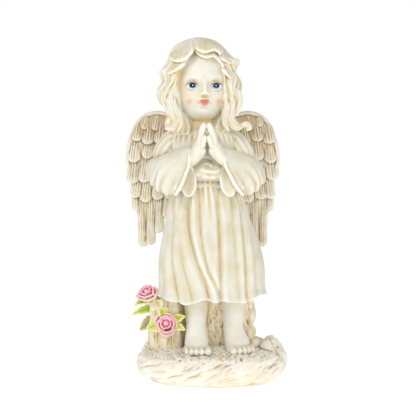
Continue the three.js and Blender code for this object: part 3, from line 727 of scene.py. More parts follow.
# %% Hair
# Heights up the head, then the left hairline and outline, and the right hairline and outline.
HAIR_ROWS = [
    [-44, -12, -24, 11, 23], [-38, -12, -30, 11, 27.5], [-32, -14, -30.5, 13, 27.5],
    [-26, -18, -29.5, 15.8, 27.5], [-21, -20.5, -31.5, 15.8, 30.5], [-14, -22, -36.5, 16.6, 33],
    [-8, -23, -39, 17.2, 34], [-4, -23.4, -38, 17.4, 34.3], [2, -23.4, -34, 17.6, 34.4],
    [6, -22.8, -34.5, 17, 33], [11, -21, -36.5, 15, 29.5], [15, -17.5, -32, 12.5, 30.5],
    [20, -14, -29.5, 8.5, 33.4], [23, -12.5, -28.3, 3, 29], [28, -10.5, -27, -5, 23.5],
    [33, -9, -23.5, -9, 19.2], [37, -9, -17.5, -9, 14.5], [40, -7, -10, -7, 7.5], [41, -3, -3.2, -3, -2.8],
]
SKULL_Y, SKULL_DEEP, SKULL_WIDE, SKULL_TALL = 2.5, 25.0, 27.0, 39.5
BACK_SHARE, TUCK_SHARE = 0.55, 0.08  # how much of a ring lies behind, and dives in at the hairline


def skull(x, z, lift):
    """How far forward the skull, an egg swollen by lift, lies at x across and z up."""
    left = 1 - ((x + 1.5) / (SKULL_WIDE + lift)) ** 2 - (z / (SKULL_TALL + lift)) ** 2
    return SKULL_Y - (SKULL_DEEP + lift) * np.sqrt(np.maximum(0.03, left))


def hair_mass():
    """Rings at rising heights: a quarter oval from each hairline out to the outline, and half an oval behind.
    At the hairline the ring dives into the head. The locks are cosines of the way round, bent by slow waves
    down the head."""
    turn, v = ring_grid(420, 260)
    z = HAIR_ROWS[0][0] + (HAIR_ROWS[-1][0] - HAIR_ROWS[0][0]) * (0.5 - 0.5 * np.cos(np.pi * v)) ** 0.9
    line_left, out_left, line_right, out_right = split(through(HAIR_ROWS, z))
    round_way = np.abs(turn / np.pi - 1)
    right = turn > np.pi
    line, rim = np.where(right, line_right, line_left), np.where(right, out_right, out_left)
    front = round_way > BACK_SHARE
    share = np.where(front, (1 - round_way) / (1 - BACK_SHARE), round_way / BACK_SHARE)
    tuck = np.where(front, np.clip(1 - share / TUCK_SHARE, 0, 1), 0) * ease(33, 27, z)
    share = np.where(front, np.clip((share - TUCK_SHARE) / (1 - TUCK_SHARE), 0, 1), share)
    quarter = 0.5 * np.pi * share
    start = skull(line, np.clip(z, -24, 60), 1.5) + 4 * ease(-10, -36, z)
    middle = 0.5 * (out_left + out_right)
    back = through([[-44, 20], [-36, 24.5], [-14, 27], [6, 28], [22, 26], [33, 19], [39, 9], [41, 2]], z)
    side = 4 - 3 * ease(20, 41, z)
    x = np.where(front, line + (rim - line) * np.sin(quarter), middle + (rim - middle) * np.sin(quarter))
    y = np.where(front, side + (start - side) * np.cos(quarter), side + (back - side) * np.cos(quarter))
    x, y = x - 0.6 * line * tuck, y + 14 * tuck
    wave = 0.36 * np.sin(0.15 * z + 2 * right + 3 * share) + 0.07 * np.sin(0.31 * z + 5 * share)
    flow = np.where(front, 3.0 * share, 3.0 + 3.4 * (1 - share)) + 0.028 * z + wave
    top = ease(41, 30, z)
    locks = 2.0 * (np.abs(np.cos(np.pi * flow)) - 0.6) + 0.5 * np.cos(TAU * 2.5 * flow + 0.1 * z)
    bulge = 1 + top * (1 - tuck) * locks / 30
    return shell(*on_head(middle + (x - middle) * bulge, 3 + (y - 3) * bulge, z))


# Each bang: its lower edge and its upper edge as places across and up, lift, half thickness and strands.
BANGS = [
    ([(-9.2, 31.5), (-11, 24.5), (-15.2, 18.6), (-20.5, 16.6), (-25, 17.6), (-28.2, 20.6)],
     [(-8.5, 36), (-9, 39.4), (-13, 38.2), (-19, 35), (-24, 30), (-27, 26)], 5.0, 1.9, 7),
    ([(-7.6, 29), (-5.2, 23.2), (-2, 20.4), (2, 19.8), (6, 21.2), (9.4, 20), (12.6, 16.6), (15.4, 12)],
     [(-8, 35), (-5, 35), (-1, 34), (4, 33), (9, 31), (14, 27), (18, 22), (20, 17)], 2.6, 1.7, 6),
    ([(-8.8, 31.8), (-7, 27.6), (-3.6, 24.4), (1, 24), (5, 25.4), (8, 26.2), (11.2, 24.8), (12.6, 22.4)],
     [(-7.6, 36), (-6, 39.8), (0, 40), (6, 39.6), (10, 38), (14, 35.5), (17.5, 32), (19, 29)], 5.4, 1.9, 8),
    ([(10.5, 24.5), (14, 19.4), (19, 17), (24, 16.4), (28.5, 17.2), (33.6, 20.2)],
     [(8, 36), (14, 34), (18, 31), (22, 27.4), (26, 24.2), (32, 21.8)], 3.8, 1.8, 6),
    ([(-16, 17), (-20.5, 11.4), (-26, 8.4), (-31, 7.6), (-36.2, 10.4)],
     [(-15, 24), (-20, 21), (-25, 18.5), (-30, 15.6), (-35.6, 12.4)], 3.6, 1.8, 5),
    ([(15, 12.4), (18.4, 6.6), (23.6, 3), (29, 2.4), (33.6, 4.6)],
     [(14, 19), (19, 16.4), (24, 13), (29, 9.6), (33.4, 6.6)], 3.0, 1.7, 5),
]


def bang(lower, upper, lift, half, strands):
    """A thick sheet on the skull between two edges: t runs down it, s along it. It lifts off towards its
    lower edge, ends in a rolled lip, and has shallow strands across s."""
    s, t = np.meshgrid(np.linspace(0, 1, 70), np.linspace(0, 1, 50))
    above, below = (through(np.column_stack([np.linspace(0, 1, len(edge)), np.array(edge, float)]), s)
                    for edge in (upper, lower))
    across, up = split(above + (below - above) * t[..., None])
    rise = lift * ease(0, 0.75, t) * (0.4 + 0.6 * ease(0, 0.3, s)) + 0.9 * bump(t - 0.9, 0.14)
    rise = rise + 0.8 * np.cos(TAU * strands * (s + 0.08 * np.sin(3 * t))) * t * (1 - t)
    return sheet(np.stack(on_head(across, skull(across, up, rise), up), -1), 2 * half, 40)


# The free ends: places from the middle of the head, half width and half thickness.
SIDE_LOCKS = [
    ([(-27, -11, -1), (-31.5, -9.5, -11), (-28.5, -11, -20), (-26.5, -12.5, -28), (-31.5, -12, -34.5)],
     4.6, 3.6),
    ([(-26.4, -12.4, -6), (-28.5, -12.6, -15), (-26, -14, -24), (-23.6, -14.5, -32), (-27, -14, -38),
      (-33.5, -12, -39)], 3.8, 3.2),
    ([(-24.8, -12.6, -12), (-25, -13.4, -20), (-21.6, -15, -28), (-20, -15.5, -35), (-22.5, -15, -42)],
     2.9, 2.7),
    ([(25, -11, -1), (30, -9.5, -11), (28, -10.5, -20), (23.6, -11.5, -28), (24.5, -12, -37)], 4.6, 3.6),
    ([(21, -13, -6), (24.5, -13, -15), (22.6, -14, -24), (23, -14.5, -31), (28, -14, -36.6), (33, -13, -36.2),
      (38, -12, -35.2)], 3.8, 3.2),
    ([(18, -14.5, -12), (20, -14.8, -20), (18.6, -15, -28), (18.4, -15.5, -35), (22, -15, -42)], 2.9, 2.7),
    ([(32, -13.8, -36.4), (36.5, -12.8, -35), (39.6, -12, -37.2), (37, -12.4, -40.6)], 2.6, 2.6),
]


def lock(path, wide, thick, face=(0, -1, 0.3)):
    """A flat limb that narrows to its tip, with nine strands round it that turn slowly along it."""
    points = np.column_stack(on_head(*np.array(path, float).T))
    return limb(points, lambda t: (wide * (0.45 + 0.7 * np.sin(np.pi * t ** 0.8)), thick * (1 - 0.45 * t)),
                face, 72, 70, strands=9, groove=0.1, twist=2.5)


def back_lock(k):
    """A long lock from the crown down the back, at its own angle, that waves from side to side."""
    angle = 1.72 + 0.285 * k
    z = np.array([37, 33, 19, 3, -14, -30, -43.0])
    r = np.array([5, 15, 23.5, 25.5, 24, 23, 19.0])
    swing = angle + np.array([0, 0, 0.03, 0.1, -0.06, 0.09, -0.03]) * (1 if k % 2 else -1)
    path = np.column_stack([-1.5 + r * np.sin(swing), 5 - r * np.cos(swing), z])
    return lock(path, 5.6 + 0.8 * (k % 2), 4.6, (np.sin(angle), -np.cos(angle), 0.2))


parting = ball((-7.8, -5, 35.4), (5, 6, 4))  # fills the hollow where the bangs part
locks = [bang(*row) for row in BANGS] + [lock(*row) for row in SIDE_LOCKS] + [back_lock(k) for k in range(11)]
hair = cast("hair", [hair_mass(), parting] + locks, 0.42, 150000, soften=2)

# %% [markdown]
# ## The wings
# Each wing is a thick blade with a rounded leading edge. Rows of coverts overlap down it like roof tiles and
# the long flight feathers hang below. A feather is a flat form with a round tip, a raised shaft and carved
# grooves, worked out in the wing's own plane and then laid on its sweep. The two wings are mirror images,
# apart from small shifts of the tips.

# %% Wings
WING_X, WING_ROOT, WING_Y, WING_SWEEP, WING_CURL, WING_TIP = -7.5, 10.5, 14.0, 0.47, 5.0, 66.2
WING_START = -5.25
WING_EDGE = [[-6, 214], [6, 226], [20, 234.5], [34, 237.5], [46, 235], [53, 229.5], [60, 216],
             [WING_TIP, 193]]
WING_FOOT = [[-6, 172], [8, 160], [16, 152], [24.5, 145], [33, 131], [41.5, 122], [50, 122], [56, 150],
             [WING_TIP, 190]]
# How far the front and the back of the blade stand off its plane, from the leading edge down.
BLADE_FRONT = [[0, -1], [0.015, 4], [0.1, 6.4], [0.25, 4.8], [0.6, 2.2], [0.97, 0.4], [1, -1.6]]
BLADE_BACK = [[0, -1], [0.06, -4.2], [0.4, -4.4], [0.8, -3], [1, -1.6]]


def on_wing(side, out, z, lift):
    """A place given by its way out along the wing, its height and its lift towards the front."""
    c, s = np.cos(WING_SWEEP), np.sin(WING_SWEEP)
    x = WING_X + side * (WING_ROOT + out * c + lift * s)
    return x, WING_Y + out * s - WING_CURL * (out / 60) ** 2 - lift * c, z


def blade(side):
    """The wing's body: down its front from the leading edge, and up its plain back."""
    turn, v = ring_grid(160, 120)
    out = WING_START + (WING_TIP - WING_START) * (0.5 - 0.5 * np.cos(np.pi * v))
    share = turn / TAU
    front = share < 0.6
    down = np.where(front, share / 0.6, (1 - share) / 0.4)
    lift = np.where(front, through(BLADE_FRONT, down), through(BLADE_BACK, down))
    top, bottom = through(WING_EDGE, out), through(WING_FOOT, out)
    end = np.sin(np.pi * v) ** 0.25
    z = top + (bottom - top) * (down * end + 0.4 * (1 - end))
    return shell(*on_wing(side, out, z, lift * end))


def feather(side, root, tip, wide, lift, thick=1.4, back=1, barbs=0.0):
    """A strip from root to tip in the wing's plane, arched across and round at the tip. Grooves run along
    it, as a cosine of the way across, beside a raised shaft, and slanting barbs may mark one half."""
    turn, v = ring_grid(84, 90)
    t = 0.5 - 0.5 * np.cos(np.pi * v)
    run = np.hypot(tip[0] - root[0], tip[1] - root[1])
    blunt = 1 - 0.85 * wide / run
    cap = rounded(np.clip((t - blunt) / (1 - blunt), 0, 1), 2) * rounded(1 - t, 12)
    a = np.cos(turn)
    half = wide * cap * (0.86 + 0.14 * ease(0, 0.5, t))
    lines = 0.34 * np.cos(TAU * 2.6 * a + 1.2 * np.sin(3 * t + wide)) + 0.7 * bump(a, 0.1)
    lines = lines + barbs * np.cos(TAU * (t * run - 2 * a * half) / 2.6) * ease(0.1, 0.4, a)
    h = np.sin(turn) * (thick * cap ** 0.5 + np.where(np.sin(turn) * back > 0, lines * cap, 0))
    h = h - back * 1.5 * a * a * cap
    run_out, run_up = (tip[0] - root[0]) / run, (tip[1] - root[1]) / run
    out = root[0] + (tip[0] - root[0]) * t + a * half * run_up
    z = root[1] + (tip[1] - root[1]) * t - a * half * run_out
    return shell(*on_wing(side, out, z, lift[0] + (lift[1] - lift[0]) * t ** 1.3 + h))


# Each row of coverts: places out along the wing, height of the root and the tip, half width, lift.
COVERTS = [
    ([9, 20, 31.5, 42.5], 234, 221.5, 6.2, (5.2, 6.8)),
    ([14, 27, 40, 52], 229, 208.5, 7.0, (4.4, 7.0)),
    ([15, 28, 41.5, 55], 215, 192.5, 7.0, (3.2, 6.4)),
    ([17, 30.5, 44, 57], 200, 173.5, 7.0, (2.0, 5.4)),
    ([18, 31.5, 44.7, 55], 182, 157, 6.8, (0.8, 4.4)),
]
# The thick rim: places out along the wing and up.
WING_RIM = [(4, 221), (14, 229), (24, 233.5), (34, 235), (44, 233.2), (52, 227.5), (58.5, 216), (63, 203),
            (63.6, 190), (60, 176)]
FLIGHT_ROOT = 178
# Each flight feather: the place out of its root, and of its tip, and the height of the tip.
FLIGHT = [(13, 16, 150), (22, 24.5, 141), (31, 33, 127), (41, 41, 116), (52, 49.3, 114), (58.5, 55.4, 146)]


def wing(side):
    """The blade with five rows of coverts and the flight feathers, and plainer feathers on the back."""
    edge = np.column_stack(on_wing(side, *np.array(WING_RIM, float).T, np.float64(1.5)))
    forms = [blade(side), limb(edge, lambda t: (2.8, 4.4), (0, -1, 0), 32, 120)]
    for row, (places, root, tip, wide, lift) in enumerate(COVERTS):
        for k, x in enumerate(places):
            stray = np.sin(5.1 * k + 3.7 * row + side)
            high = min(root, through(WING_EDGE, np.float64(x)) - 4)
            end = (x + 1.2 + 0.8 * stray, tip + 2.2 * np.sin(2.3 * k + 1.9 * row + 0.7 * side))
            forms.append(feather(side, (x - 0.8, high), end, wide * (1 + 0.07 * stray), lift))
        forms += [feather(side, (x + 3, min(root, through(WING_EDGE, np.float64(x)) - 8)), (x + 4, tip), wide,
                          (-3.8, -5.4), 1.0, -1) for x in places[:-1]]
    for k, (root, x, tip) in enumerate(FLIGHT):
        lift = (0.2, 1.2 + 0.5 * (k % 2))
        forms.append(feather(side, (root, FLIGHT_ROOT), (x, tip), 5.2, lift, 1.6, 1, 0.3))
        forms.append(feather(side, (root, FLIGHT_ROOT), (x, tip + 1), 4.8, (-2.6, -1.4), 1.2, -1))
    return forms


wings = cast("wings", wing(-1) + wing(1), 0.45, 180000, soften=1, reach=24)

# %% [markdown]
# ## Roses and leaves
# Two roses and their leaves grow from the stump, one open to the front and one turned up. A petal is a small
# cupped sheet: its outline narrows to the heart, and its rim rolls outwards. Three rings of petals stand
# round a rolled bud. A leaf is a sheet folded along its midrib. Each rose row gives its middle, the way it
# faces, its radius, the foot of its stem and its turn; each leaf row its root, tip, half width and facing.

# %% Roses
def facing(middle, out, roll):
    """A frame that looks along out: gives the place a across, b up and c out from the middle."""
    normal = unit(np.asarray(out, float))
    across = unit(np.cross([0, 0, 1], normal))
    up = np.cross(normal, across)
    c, s = np.cos(roll), np.sin(roll)
    across, up = c * across + s * up, c * up - s * across
    return lambda a, b, h: (np.asarray(middle, float) + a[..., None] * across + b[..., None] * up
                            + h[..., None] * normal)


def petal(at, radius, angle, span, opened, lift):
    """Across it s turns round the rose, along it t climbs from the heart to the rolled rim. No two are
    alike."""
    opened, lift = opened * (1 + 0.09 * np.sin(7 * angle)), lift + 0.1 * np.sin(5 * angle + 1)
    s, t = np.meshgrid(np.linspace(-1, 1, 30), np.linspace(0, 1, 30))
    t = t * (1 - 0.22 * np.abs(s) ** 3)
    far = through([[0, 0.12], [0.45, 0.62], [0.85, 0.9], [1, 1.04]], t) * opened * radius
    high = through([[0, -0.62], [0.45, -0.42], [0.85, 0.8 * lift], [1, lift]], t) * radius
    high = high - 0.16 * radius * t ** 7 + 0.07 * radius * t * t * np.sin(4 * s + 2 * angle)
    turn = angle + span * s * (0.6 + 0.4 * t)
    return sheet(at(far * np.cos(turn), far * np.sin(turn), high), 1.5)


def rose(middle, out, radius, foot, roll):
    """A bud with a spiral groove, and rings of three, four and five petals on a short stem."""
    at = facing(middle, out, roll)
    turn, v = ring_grid(60, 40)
    swirl = 1 + 0.14 * np.cos(turn - 9 * v)
    r = 0.32 * radius * np.sin(np.pi * v) ** 0.7 * swirl
    bud = at(r * np.cos(turn), r * np.sin(turn), radius * (-0.5 + 0.98 * v))
    heart = at(r * 1.4 * np.cos(turn), r * 1.4 * np.sin(turn), radius * (-0.85 + 0.6 * v))
    forms = [shell(*split(bud)), shell(*split(heart)), limb([foot, middle], lambda t: (4, 4), (0, 0.3, 1))]
    for count, opened, lift, span in ((3, 0.46, 0.5, 1.3), (4, 0.72, 0.36, 1.15), (5, 0.98, 0.1, 0.98)):
        forms += [petal(at, radius, TAU * k / count + 2.1 * opened, span, opened, lift) for k in range(count)]
    return forms


ROSES = [((-39, -16, 51), (0.1, -1, 0.25), 10.5, (-39, 2, 48), 0.4),
         ((-56, -3, 76), (-0.3, -0.55, 0.8), 10.0, (-43, 4, 62), 1.0)]
roses = cast("roses", [form for row in ROSES for form in rose(*row)], 0.36, 70000, soften=1)

# %% Leaves
def leaf(root, tip, wide, face):
    """A pointed sheet folded up along its midrib, with side veins and a waved edge."""
    root, tip, face = (np.asarray(p, float) for p in (root, tip, face))
    s, t = np.meshgrid(np.linspace(-1, 1, 36), np.linspace(0, 1, 48))
    ahead = unit(tip - root)
    across = unit(np.cross(ahead, face))
    out = np.cross(across, ahead)
    run = np.linalg.norm(tip - root)
    half = wide * np.sin(np.pi * np.clip(0.06 + 0.94 * t, 0, 1) ** 0.85) ** 0.8
    half = half * (1 + 0.07 * np.sin(22 * t) * np.abs(s))
    veins = 0.25 * np.cos(TAU * (t * run - 0.7 * np.abs(s) * half) / 3.2) * np.abs(s)
    high = 1.5 * np.sin(np.pi * t) + 0.26 * np.abs(s) * half + veins - 0.5 * bump(s, 0.12)
    p = root + (t * run)[..., None] * ahead + (s * half)[..., None] * across + high[..., None] * out
    return sheet(p, 1.5)


LEAVES = [
    ((-38, -10, 53), (-56, -16, 46), 7.5, (-0.2, -0.9, 0.3)),
    ((-38, -9, 56), (-46, -15, 65), 6, (0, -0.9, 0.4)),
    ((-33, -9, 54), (-22, -17, 58), 4, (0.2, -0.9, 0.2)),
    ((-33, -9, 49), (-22, -17, 46), 4, (0.2, -0.9, 0.2)),
    ((-50, 4, 70), (-41, -10, 69), 5, (0.3, -0.8, 0.5)),
    ((-48, 4, 69), (-67, -8, 66), 6, (-0.2, -0.6, 0.8)),
    ((-46, 4, 62), (-70, -4, 57), 5, (-0.1, -0.7, 0.7)),
    ((-46, 2, 54), (-63, -5, 43), 6.5, (-0.5, -0.8, 0.2)),
]
leaves = cast("rose_leaves", [leaf(*row) for row in LEAVES], 0.36, 40000, soften=1)

# %% [markdown]
# ## Paint
# The casting is sprayed ivory, then a thin brown wash is brushed on and wiped off, so it stays in the
# hollows. A material repeats those steps in order: a mottled coat, the wash in fine dips and painted shade in
# broad hollows, where the mesh's own `wash_and_shade` attribute says the surface dips, wiped edges, and a few
# specks. Each step is one Mix node over the last.

# %% Paint steps
def linear(code):
    """A colour written as #rrggbb, in the linear numbers that a shader takes."""
    c = np.array([int(code[i:i + 2], 16) for i in (1, 3, 5)]) / 255
    return (*np.where(c > 0.04045, ((c + 0.055) / 1.055) ** 2.4, c / 12.92), 1.0)


def add(tree, kind, values=(), **settings):
    """A new node with its settings made and its sockets set to numbers or linked to other sockets."""
    node = tree.nodes.new(kind)
    for key, value in settings.items():
        setattr(node, key, value)
    for key, value in dict(values).items():
        if isinstance(value, bpy.types.NodeSocket):
            tree.links.new(value, node.inputs[key])
        else:
            node.inputs[key].default_value = value
    return node


def over(tree, under, mask, colour):
    """Paint a colour over what is there, as much as the mask says."""
    return add(tree, "ShaderNodeMix", {0: mask, 6: under, 7: colour}, data_type="RGBA").outputs[2]


def stretch(tree, value, low, high, to=1.0, start=0.0):
    """start below low and `to` above high, eased between."""
    ramp = {"Value": value, "From Min": low, "From Max": high, "To Min": start, "To Max": to}
    return add(tree, "ShaderNodeMapRange", ramp, interpolation_type="SMOOTHSTEP").outputs["Result"]


def noise(tree, place, size, detail=3.0):
    """A cloudy number from 0 to 1 whose clouds are about size millimetres across."""
    values = {"Vector": place, "Scale": 1 / (size * MM), "Detail": detail}
    return add(tree, "ShaderNodeTexNoise", values).outputs["Fac"]


def product(tree, a, b):
    """Two masks multiplied."""
    return add(tree, "ShaderNodeMath", {0: a, 1: b}, operation="MULTIPLY").outputs[0]


def start_paint(name):
    """An empty painted material: its tree and the socket with the place on the piece."""
    material = bpy.data.materials.new(name)
    material.use_nodes = True
    place = add(material.node_tree, "ShaderNodeTexCoord").outputs["Object"]
    return material, material.node_tree, place


def aged(tree, place, colour, wash_and_shade, strength, lightest="#efece2"):
    """Brown paint in fine dips and painted shade in broad hollows, broken up by clouds; a wiped pale edge;
    a few dark specks.
    """
    dip = add(tree, "ShaderNodeAttribute", attribute_name="wash_and_shade").outputs["Fac"]
    rim = add(tree, "ShaderNodeAttribute", attribute_name="edge").outputs["Fac"]
    patchy = stretch(tree, noise(tree, place, 9), 0.25, 0.62)
    settled_and_shaded = product(tree, stretch(tree, dip, 0.04, 0.75, strength), patchy)
    colour = over(tree, colour, stretch(tree, rim, 0.04, 0.5, 0.85), linear(lightest))
    colour = over(tree, colour, stretch(tree, dip, 0.0, 0.4, 0.75 * strength), linear(wash_and_shade[0]))
    colour = over(tree, colour, settled_and_shaded, linear(wash_and_shade[1]))
    return over(tree, colour, stretch(tree, noise(tree, place, 1.1, 1.0), 0.74, 0.8, 0.3), linear(wash_and_shade[1]))


def finish_paint(tree, place, colour, rough=(0.42, 0.62), tooth=0.12):
    """The shader: the colour, a gloss that varies in patches and the fine tooth of brushed paint."""
    shader = tree.nodes["Principled BSDF"]
    tree.links.new(colour, shader.inputs["Base Color"])
    patches = {"Value": noise(tree, place, 6), "From Min": 0.3, "From Max": 0.7,
               "To Min": rough[0], "To Max": rough[1]}
    gloss = add(tree, "ShaderNodeMapRange", patches)
    tree.links.new(gloss.outputs["Result"], shader.inputs["Roughness"])
    relief = {"Height": noise(tree, place, 0.7, 2.0), "Strength": tooth, "Distance": 0.3 * MM}
    tree.links.new(add(tree, "ShaderNodeBump", relief).outputs["Normal"], shader.inputs["Normal"])
    shader.inputs["Specular IOR Level"].default_value = 0.35


def mottled(tree, place, light, deep, size=16):
    """A sprayed coat that drifts between two close colours."""
    return over(tree, linear(light), stretch(tree, noise(tree, place, size), 0.35, 0.7), linear(deep))


print("ivory in linear light:", [round(float(c), 3) for c in linear("#efece2")])

# %% Ivory pieces
def ivory(name, light, deep, wash_and_shade, strength, wiped="#efece2", darker=None, **how):
    """A plain aged coat for a whole piece. It may drift to a darker colour from one height to another."""
    material, tree, place = start_paint(name)
    colour = mottled(tree, place, light, deep)
    if darker:
        up = add(tree, "ShaderNodeSeparateXYZ", {0: place}).outputs["Z"]
        colour = over(tree, colour, stretch(tree, up, darker[0] * MM, darker[1] * MM, 0.6), linear(darker[2]))
    finish_paint(tree, place, aged(tree, place, colour, wash_and_shade, strength, wiped), **how)
    return material


# Colour pairs for the dips, light then dark: a brown wash in fine dips and painted shade in broad hollows.
WASH_AND_SHADE = {"warm": ("#dac286", "#b58846"), "brown": ("#b0946a", "#694a2b"), "grey": ("#d0bf9f", "#9a7f59"),
          "gold": ("#d6b983", "#9c7440")}
dress_paint = ivory("ivory_dress", "#e2e0d2", "#dad0b3", WASH_AND_SHADE["warm"], 0.8, "#f4f2ea")
# The hair turns darker towards its lower ends: a painted shade.
hair_paint = ivory("ivory_hair", "#e3e0d2", "#d8cca7", WASH_AND_SHADE["warm"], 1.0, "#f4f2ea",
                   darker=(238, 214, "#dac795"))
# The wings turn darker towards their tops: brown paint together with painted shade.
wing_paint = ivory("ivory_wings", "#e8e3d2", "#d8caa8", WASH_AND_SHADE["brown"], 1.0, darker=(196, 228, "#a88a58"))
COARSE = {"rough": (0.5, 0.75), "tooth": 0.3}
rock_paint = ivory("ivory_rock", "#f0ece2", "#e8dec8", WASH_AND_SHADE["grey"], 0.75, **COARSE)
bark_paint = ivory("ivory_bark", "#f1e7cd", "#e6d5ae", WASH_AND_SHADE["gold"], 0.75, "#f3ecda", **COARSE)
print("five aged coats")

# %% [markdown]
# ## The face
# The eyes, lips and cheeks are touched in by hand with a fine brush. Further touches lay painted shade under
# the chin, at the sides of the face, under the bangs, in the lid creases, at the corners of the mouth and
# under the nose, and a painted highlight in each eye. Each touch is an oval spot around a place on the face,
# worked out from the Object coordinates after they are moved to the head and turned with it. Using the
# distance from the middle plane paints both sides at once.

# %% Face paint
def spot(tree, place, middle, half, low=0.8, high=1.0, to=1.0):
    """A soft-edged oval mask: how far the place is from the middle, in half sizes."""
    middle, half = ([c * MM for c in triple] for triple in (middle, half))
    off = add(tree, "ShaderNodeVectorMath", {0: place, 1: middle}, operation="SUBTRACT").outputs[0]
    share = add(tree, "ShaderNodeVectorMath", {0: off, 1: half}, operation="DIVIDE").outputs[0]
    far = add(tree, "ShaderNodeVectorMath", {0: share}, operation="LENGTH").outputs["Value"]
    return stretch(tree, far, low, high, 0.0, to)


skin_paint, tree, place = start_paint("painted_skin")
head_frame = {"Vector": place, "Location": HEAD * MM, "Rotation": (0, 0, HEAD_YAW)}
turned = add(tree, "ShaderNodeMapping", head_frame, vector_type="TEXTURE").outputs[0]
apart = add(tree, "ShaderNodeSeparateXYZ", {0: turned}).outputs
side = add(tree, "ShaderNodeMath", {0: apart["X"]}, operation="ABSOLUTE").outputs[0]
half_face = add(tree, "ShaderNodeCombineXYZ", {"X": side, "Y": apart["Y"], "Z": apart["Z"]}).outputs[0]
colour = mottled(tree, place, "#e6e3d7", "#dfd5bb")
colour = aged(tree, place, colour, WASH_AND_SHADE["warm"], 0.75)
# A paler colour over the feet and ankles is a painted highlight; it also covers the wash in the ankle crease.
for highlit_ankle in ((-13, -12, 45), (21, -9, 45)):
    colour = over(tree, colour, spot(tree, place, highlit_ankle, (18, 34, 20), 0.5, 1.0, 0.9), linear("#f1eee4"))
TOUCHES = [  # middle, half sizes, soft edge from and to, strength, colour
    # Painted shade under the chin, at the sides of the face beside the hair, and on the forehead under the
    # bangs.
    ((0, -14, -35), (26, 18, 9), 0.35, 1.0, 0.8, "#d8bf88"),
    ((20.5, -12, -4), (6.5, 12, 30), 0.3, 1.0, 0.6, "#d3c193"),
    ((0, -18, 30), (18, 20, 8), 0.3, 1.0, 0.5, "#d3c193"),
    ((12.8, -19, -16.2), (4.8, 9, 4.4), 0.1, 1.0, 0.6, "#e98f80"),
    # Painted shade in the crease above each eye; then the lid, the lash line, the white, the iris and the
    # pupil.
    ((EYE_X, -20, EYE_Z + 2.2), (6.8, 8, 4.6), 0.6, 1.0, 0.4, "#c9a970"),
    ((EYE_X + 0.2, -20, EYE_Z + 1.4), (6.2, 8, 4.0), 0.8, 1.0, 0.85, "#e0d9c4"),
    ((EYE_X, -20, EYE_Z + 0.4), (5.15, 8, 3.0), 0.85, 1.0, 0.9, "#554238"),
    ((EYE_X, -20, EYE_Z - 0.3), (4.9, 8, 2.35), 0.88, 1.0, 1.0, "#dbe6f0"),
    ((EYE_X - 0.4, -20, EYE_Z - 0.6), (4.1, 8, 2.4), 0.6, 1.0, 0.9, "#86b8ea"),
    ((EYE_X - 0.1, -20, EYE_Z + 0.3), (3.2, 8, 2.2), 0.75, 1.0, 1.0, "#16295a"),
    ((EYE_X, -20, EYE_Z + 0.5), (2.5, 8, 1.8), 0.7, 1.0, 1.0, "#070a14"),
    # A white painted highlight in each eye.
    ((EYE_X - 0.4, -20, EYE_Z + 0.5), (0.75, 8, 0.6), 0.5, 1.0, 1.0, "#ffffff"),
    # Painted shade at the corners of the mouth; then the lips and the dark line between them.
    ((0, -24, -17.2), (8.2, 9, 2.0), 0.3, 1.0, 0.7, "#c49a66"),
    ((0, -24, -18.5), (4.4, 9, 1.9), 0.6, 1.0, 0.9, "#dc917c"),
    ((1.7, -24, -15.9), (3.7, 9, 1.8), 0.6, 1.0, 0.9, "#d9846f"),
    ((1.5, -24, -15.3), (2.4, 9, 1.2), 0.4, 1.0, 0.75, "#cc6a54"),
    ((0, -24, -17.1), (5.2, 9, 0.45), 0.2, 1.0, 0.7, "#a05c44"),
    # Painted shade under the nose and in the nostrils.
    ((0, -26, -12), (4.4, 9, 1.3), 0.3, 1.0, 0.6, "#c39a68"),
    ((1.7, -26, -11.5), (1.3, 9, 0.7), 0.3, 1.0, 0.7, "#a97a4e"),
]
for *oval, code in TOUCHES:
    colour = over(tree, colour, spot(tree, half_face, *oval), linear(code))
finish_paint(tree, place, colour, rough=(0.35, 0.5), tooth=0.06)
print("face painted with", len(TOUCHES), "touches")

# %% [markdown]
# ## Rose and leaf paint
# The roses are brushed pink, darkest in the heart and wiped almost white on the rims of the petals, with the
# ivory left bare on their backs. The leaves are yellow-green that thins out towards their edges.

# %% Rose and leaf paint
rose_paint, tree, place = start_paint("painted_roses")
colour = mottled(tree, place, "#f0e6d2", "#e2d2b4", 7)
for middle, out, radius, *_ in ROSES:
    front = [m + 0.3 * radius * o for m, o in zip(middle, unit(np.array(out)))]
    for size, low_edge, high_edge, strength, code in ((1.02, 0.55, 1.05, 1.0, "#f6a3b8"),
                                                      (0.62, 0.2, 1.0, 0.75, "#ea83a1")):
        ball_of_pink = spot(tree, place, front, [size * radius] * 3, low_edge, high_edge, strength)
        colour = over(tree, colour, ball_of_pink, linear(code))
bare_backs = spot(tree, place, (-58, -9, 69), (13, 12, 6.5), 0.5, 1.0, 0.85)
colour = over(tree, colour, bare_backs, linear("#d8c7a6"))
# A pink wash in the fine dips of the petals, and painted shade in their broad hollows.
colour = aged(tree, place, colour, ("#e791a4", "#b25a74"), 0.65, "#f8d2d6")
finish_paint(tree, place, colour)

leaf_paint, tree, place = start_paint("painted_leaves")
colour = mottled(tree, place, "#d3e35a", "#b4c845", 5)
colour = over(tree, colour, stretch(tree, noise(tree, place, 11), 0.52, 0.66, 0.8), linear("#ddd2a6"))
colour = over(tree, colour, spot(tree, place, (-56, -2, 47), (9, 12, 9), 0.7, 1.0), linear("#bba98c"))
# A green wash in the fine dips of the leaves, and painted shade in their broad hollows.
finish_paint(tree, place, aged(tree, place, colour, ("#a9b04a", "#7c7a38"), 0.8, "#eef0b4"))
print("roses and leaves painted")

# %% [markdown]
# ## Handing the pieces to the frame
# Each piece takes its paint, rides on the casting's one body and stands in for its solid, which is hidden.

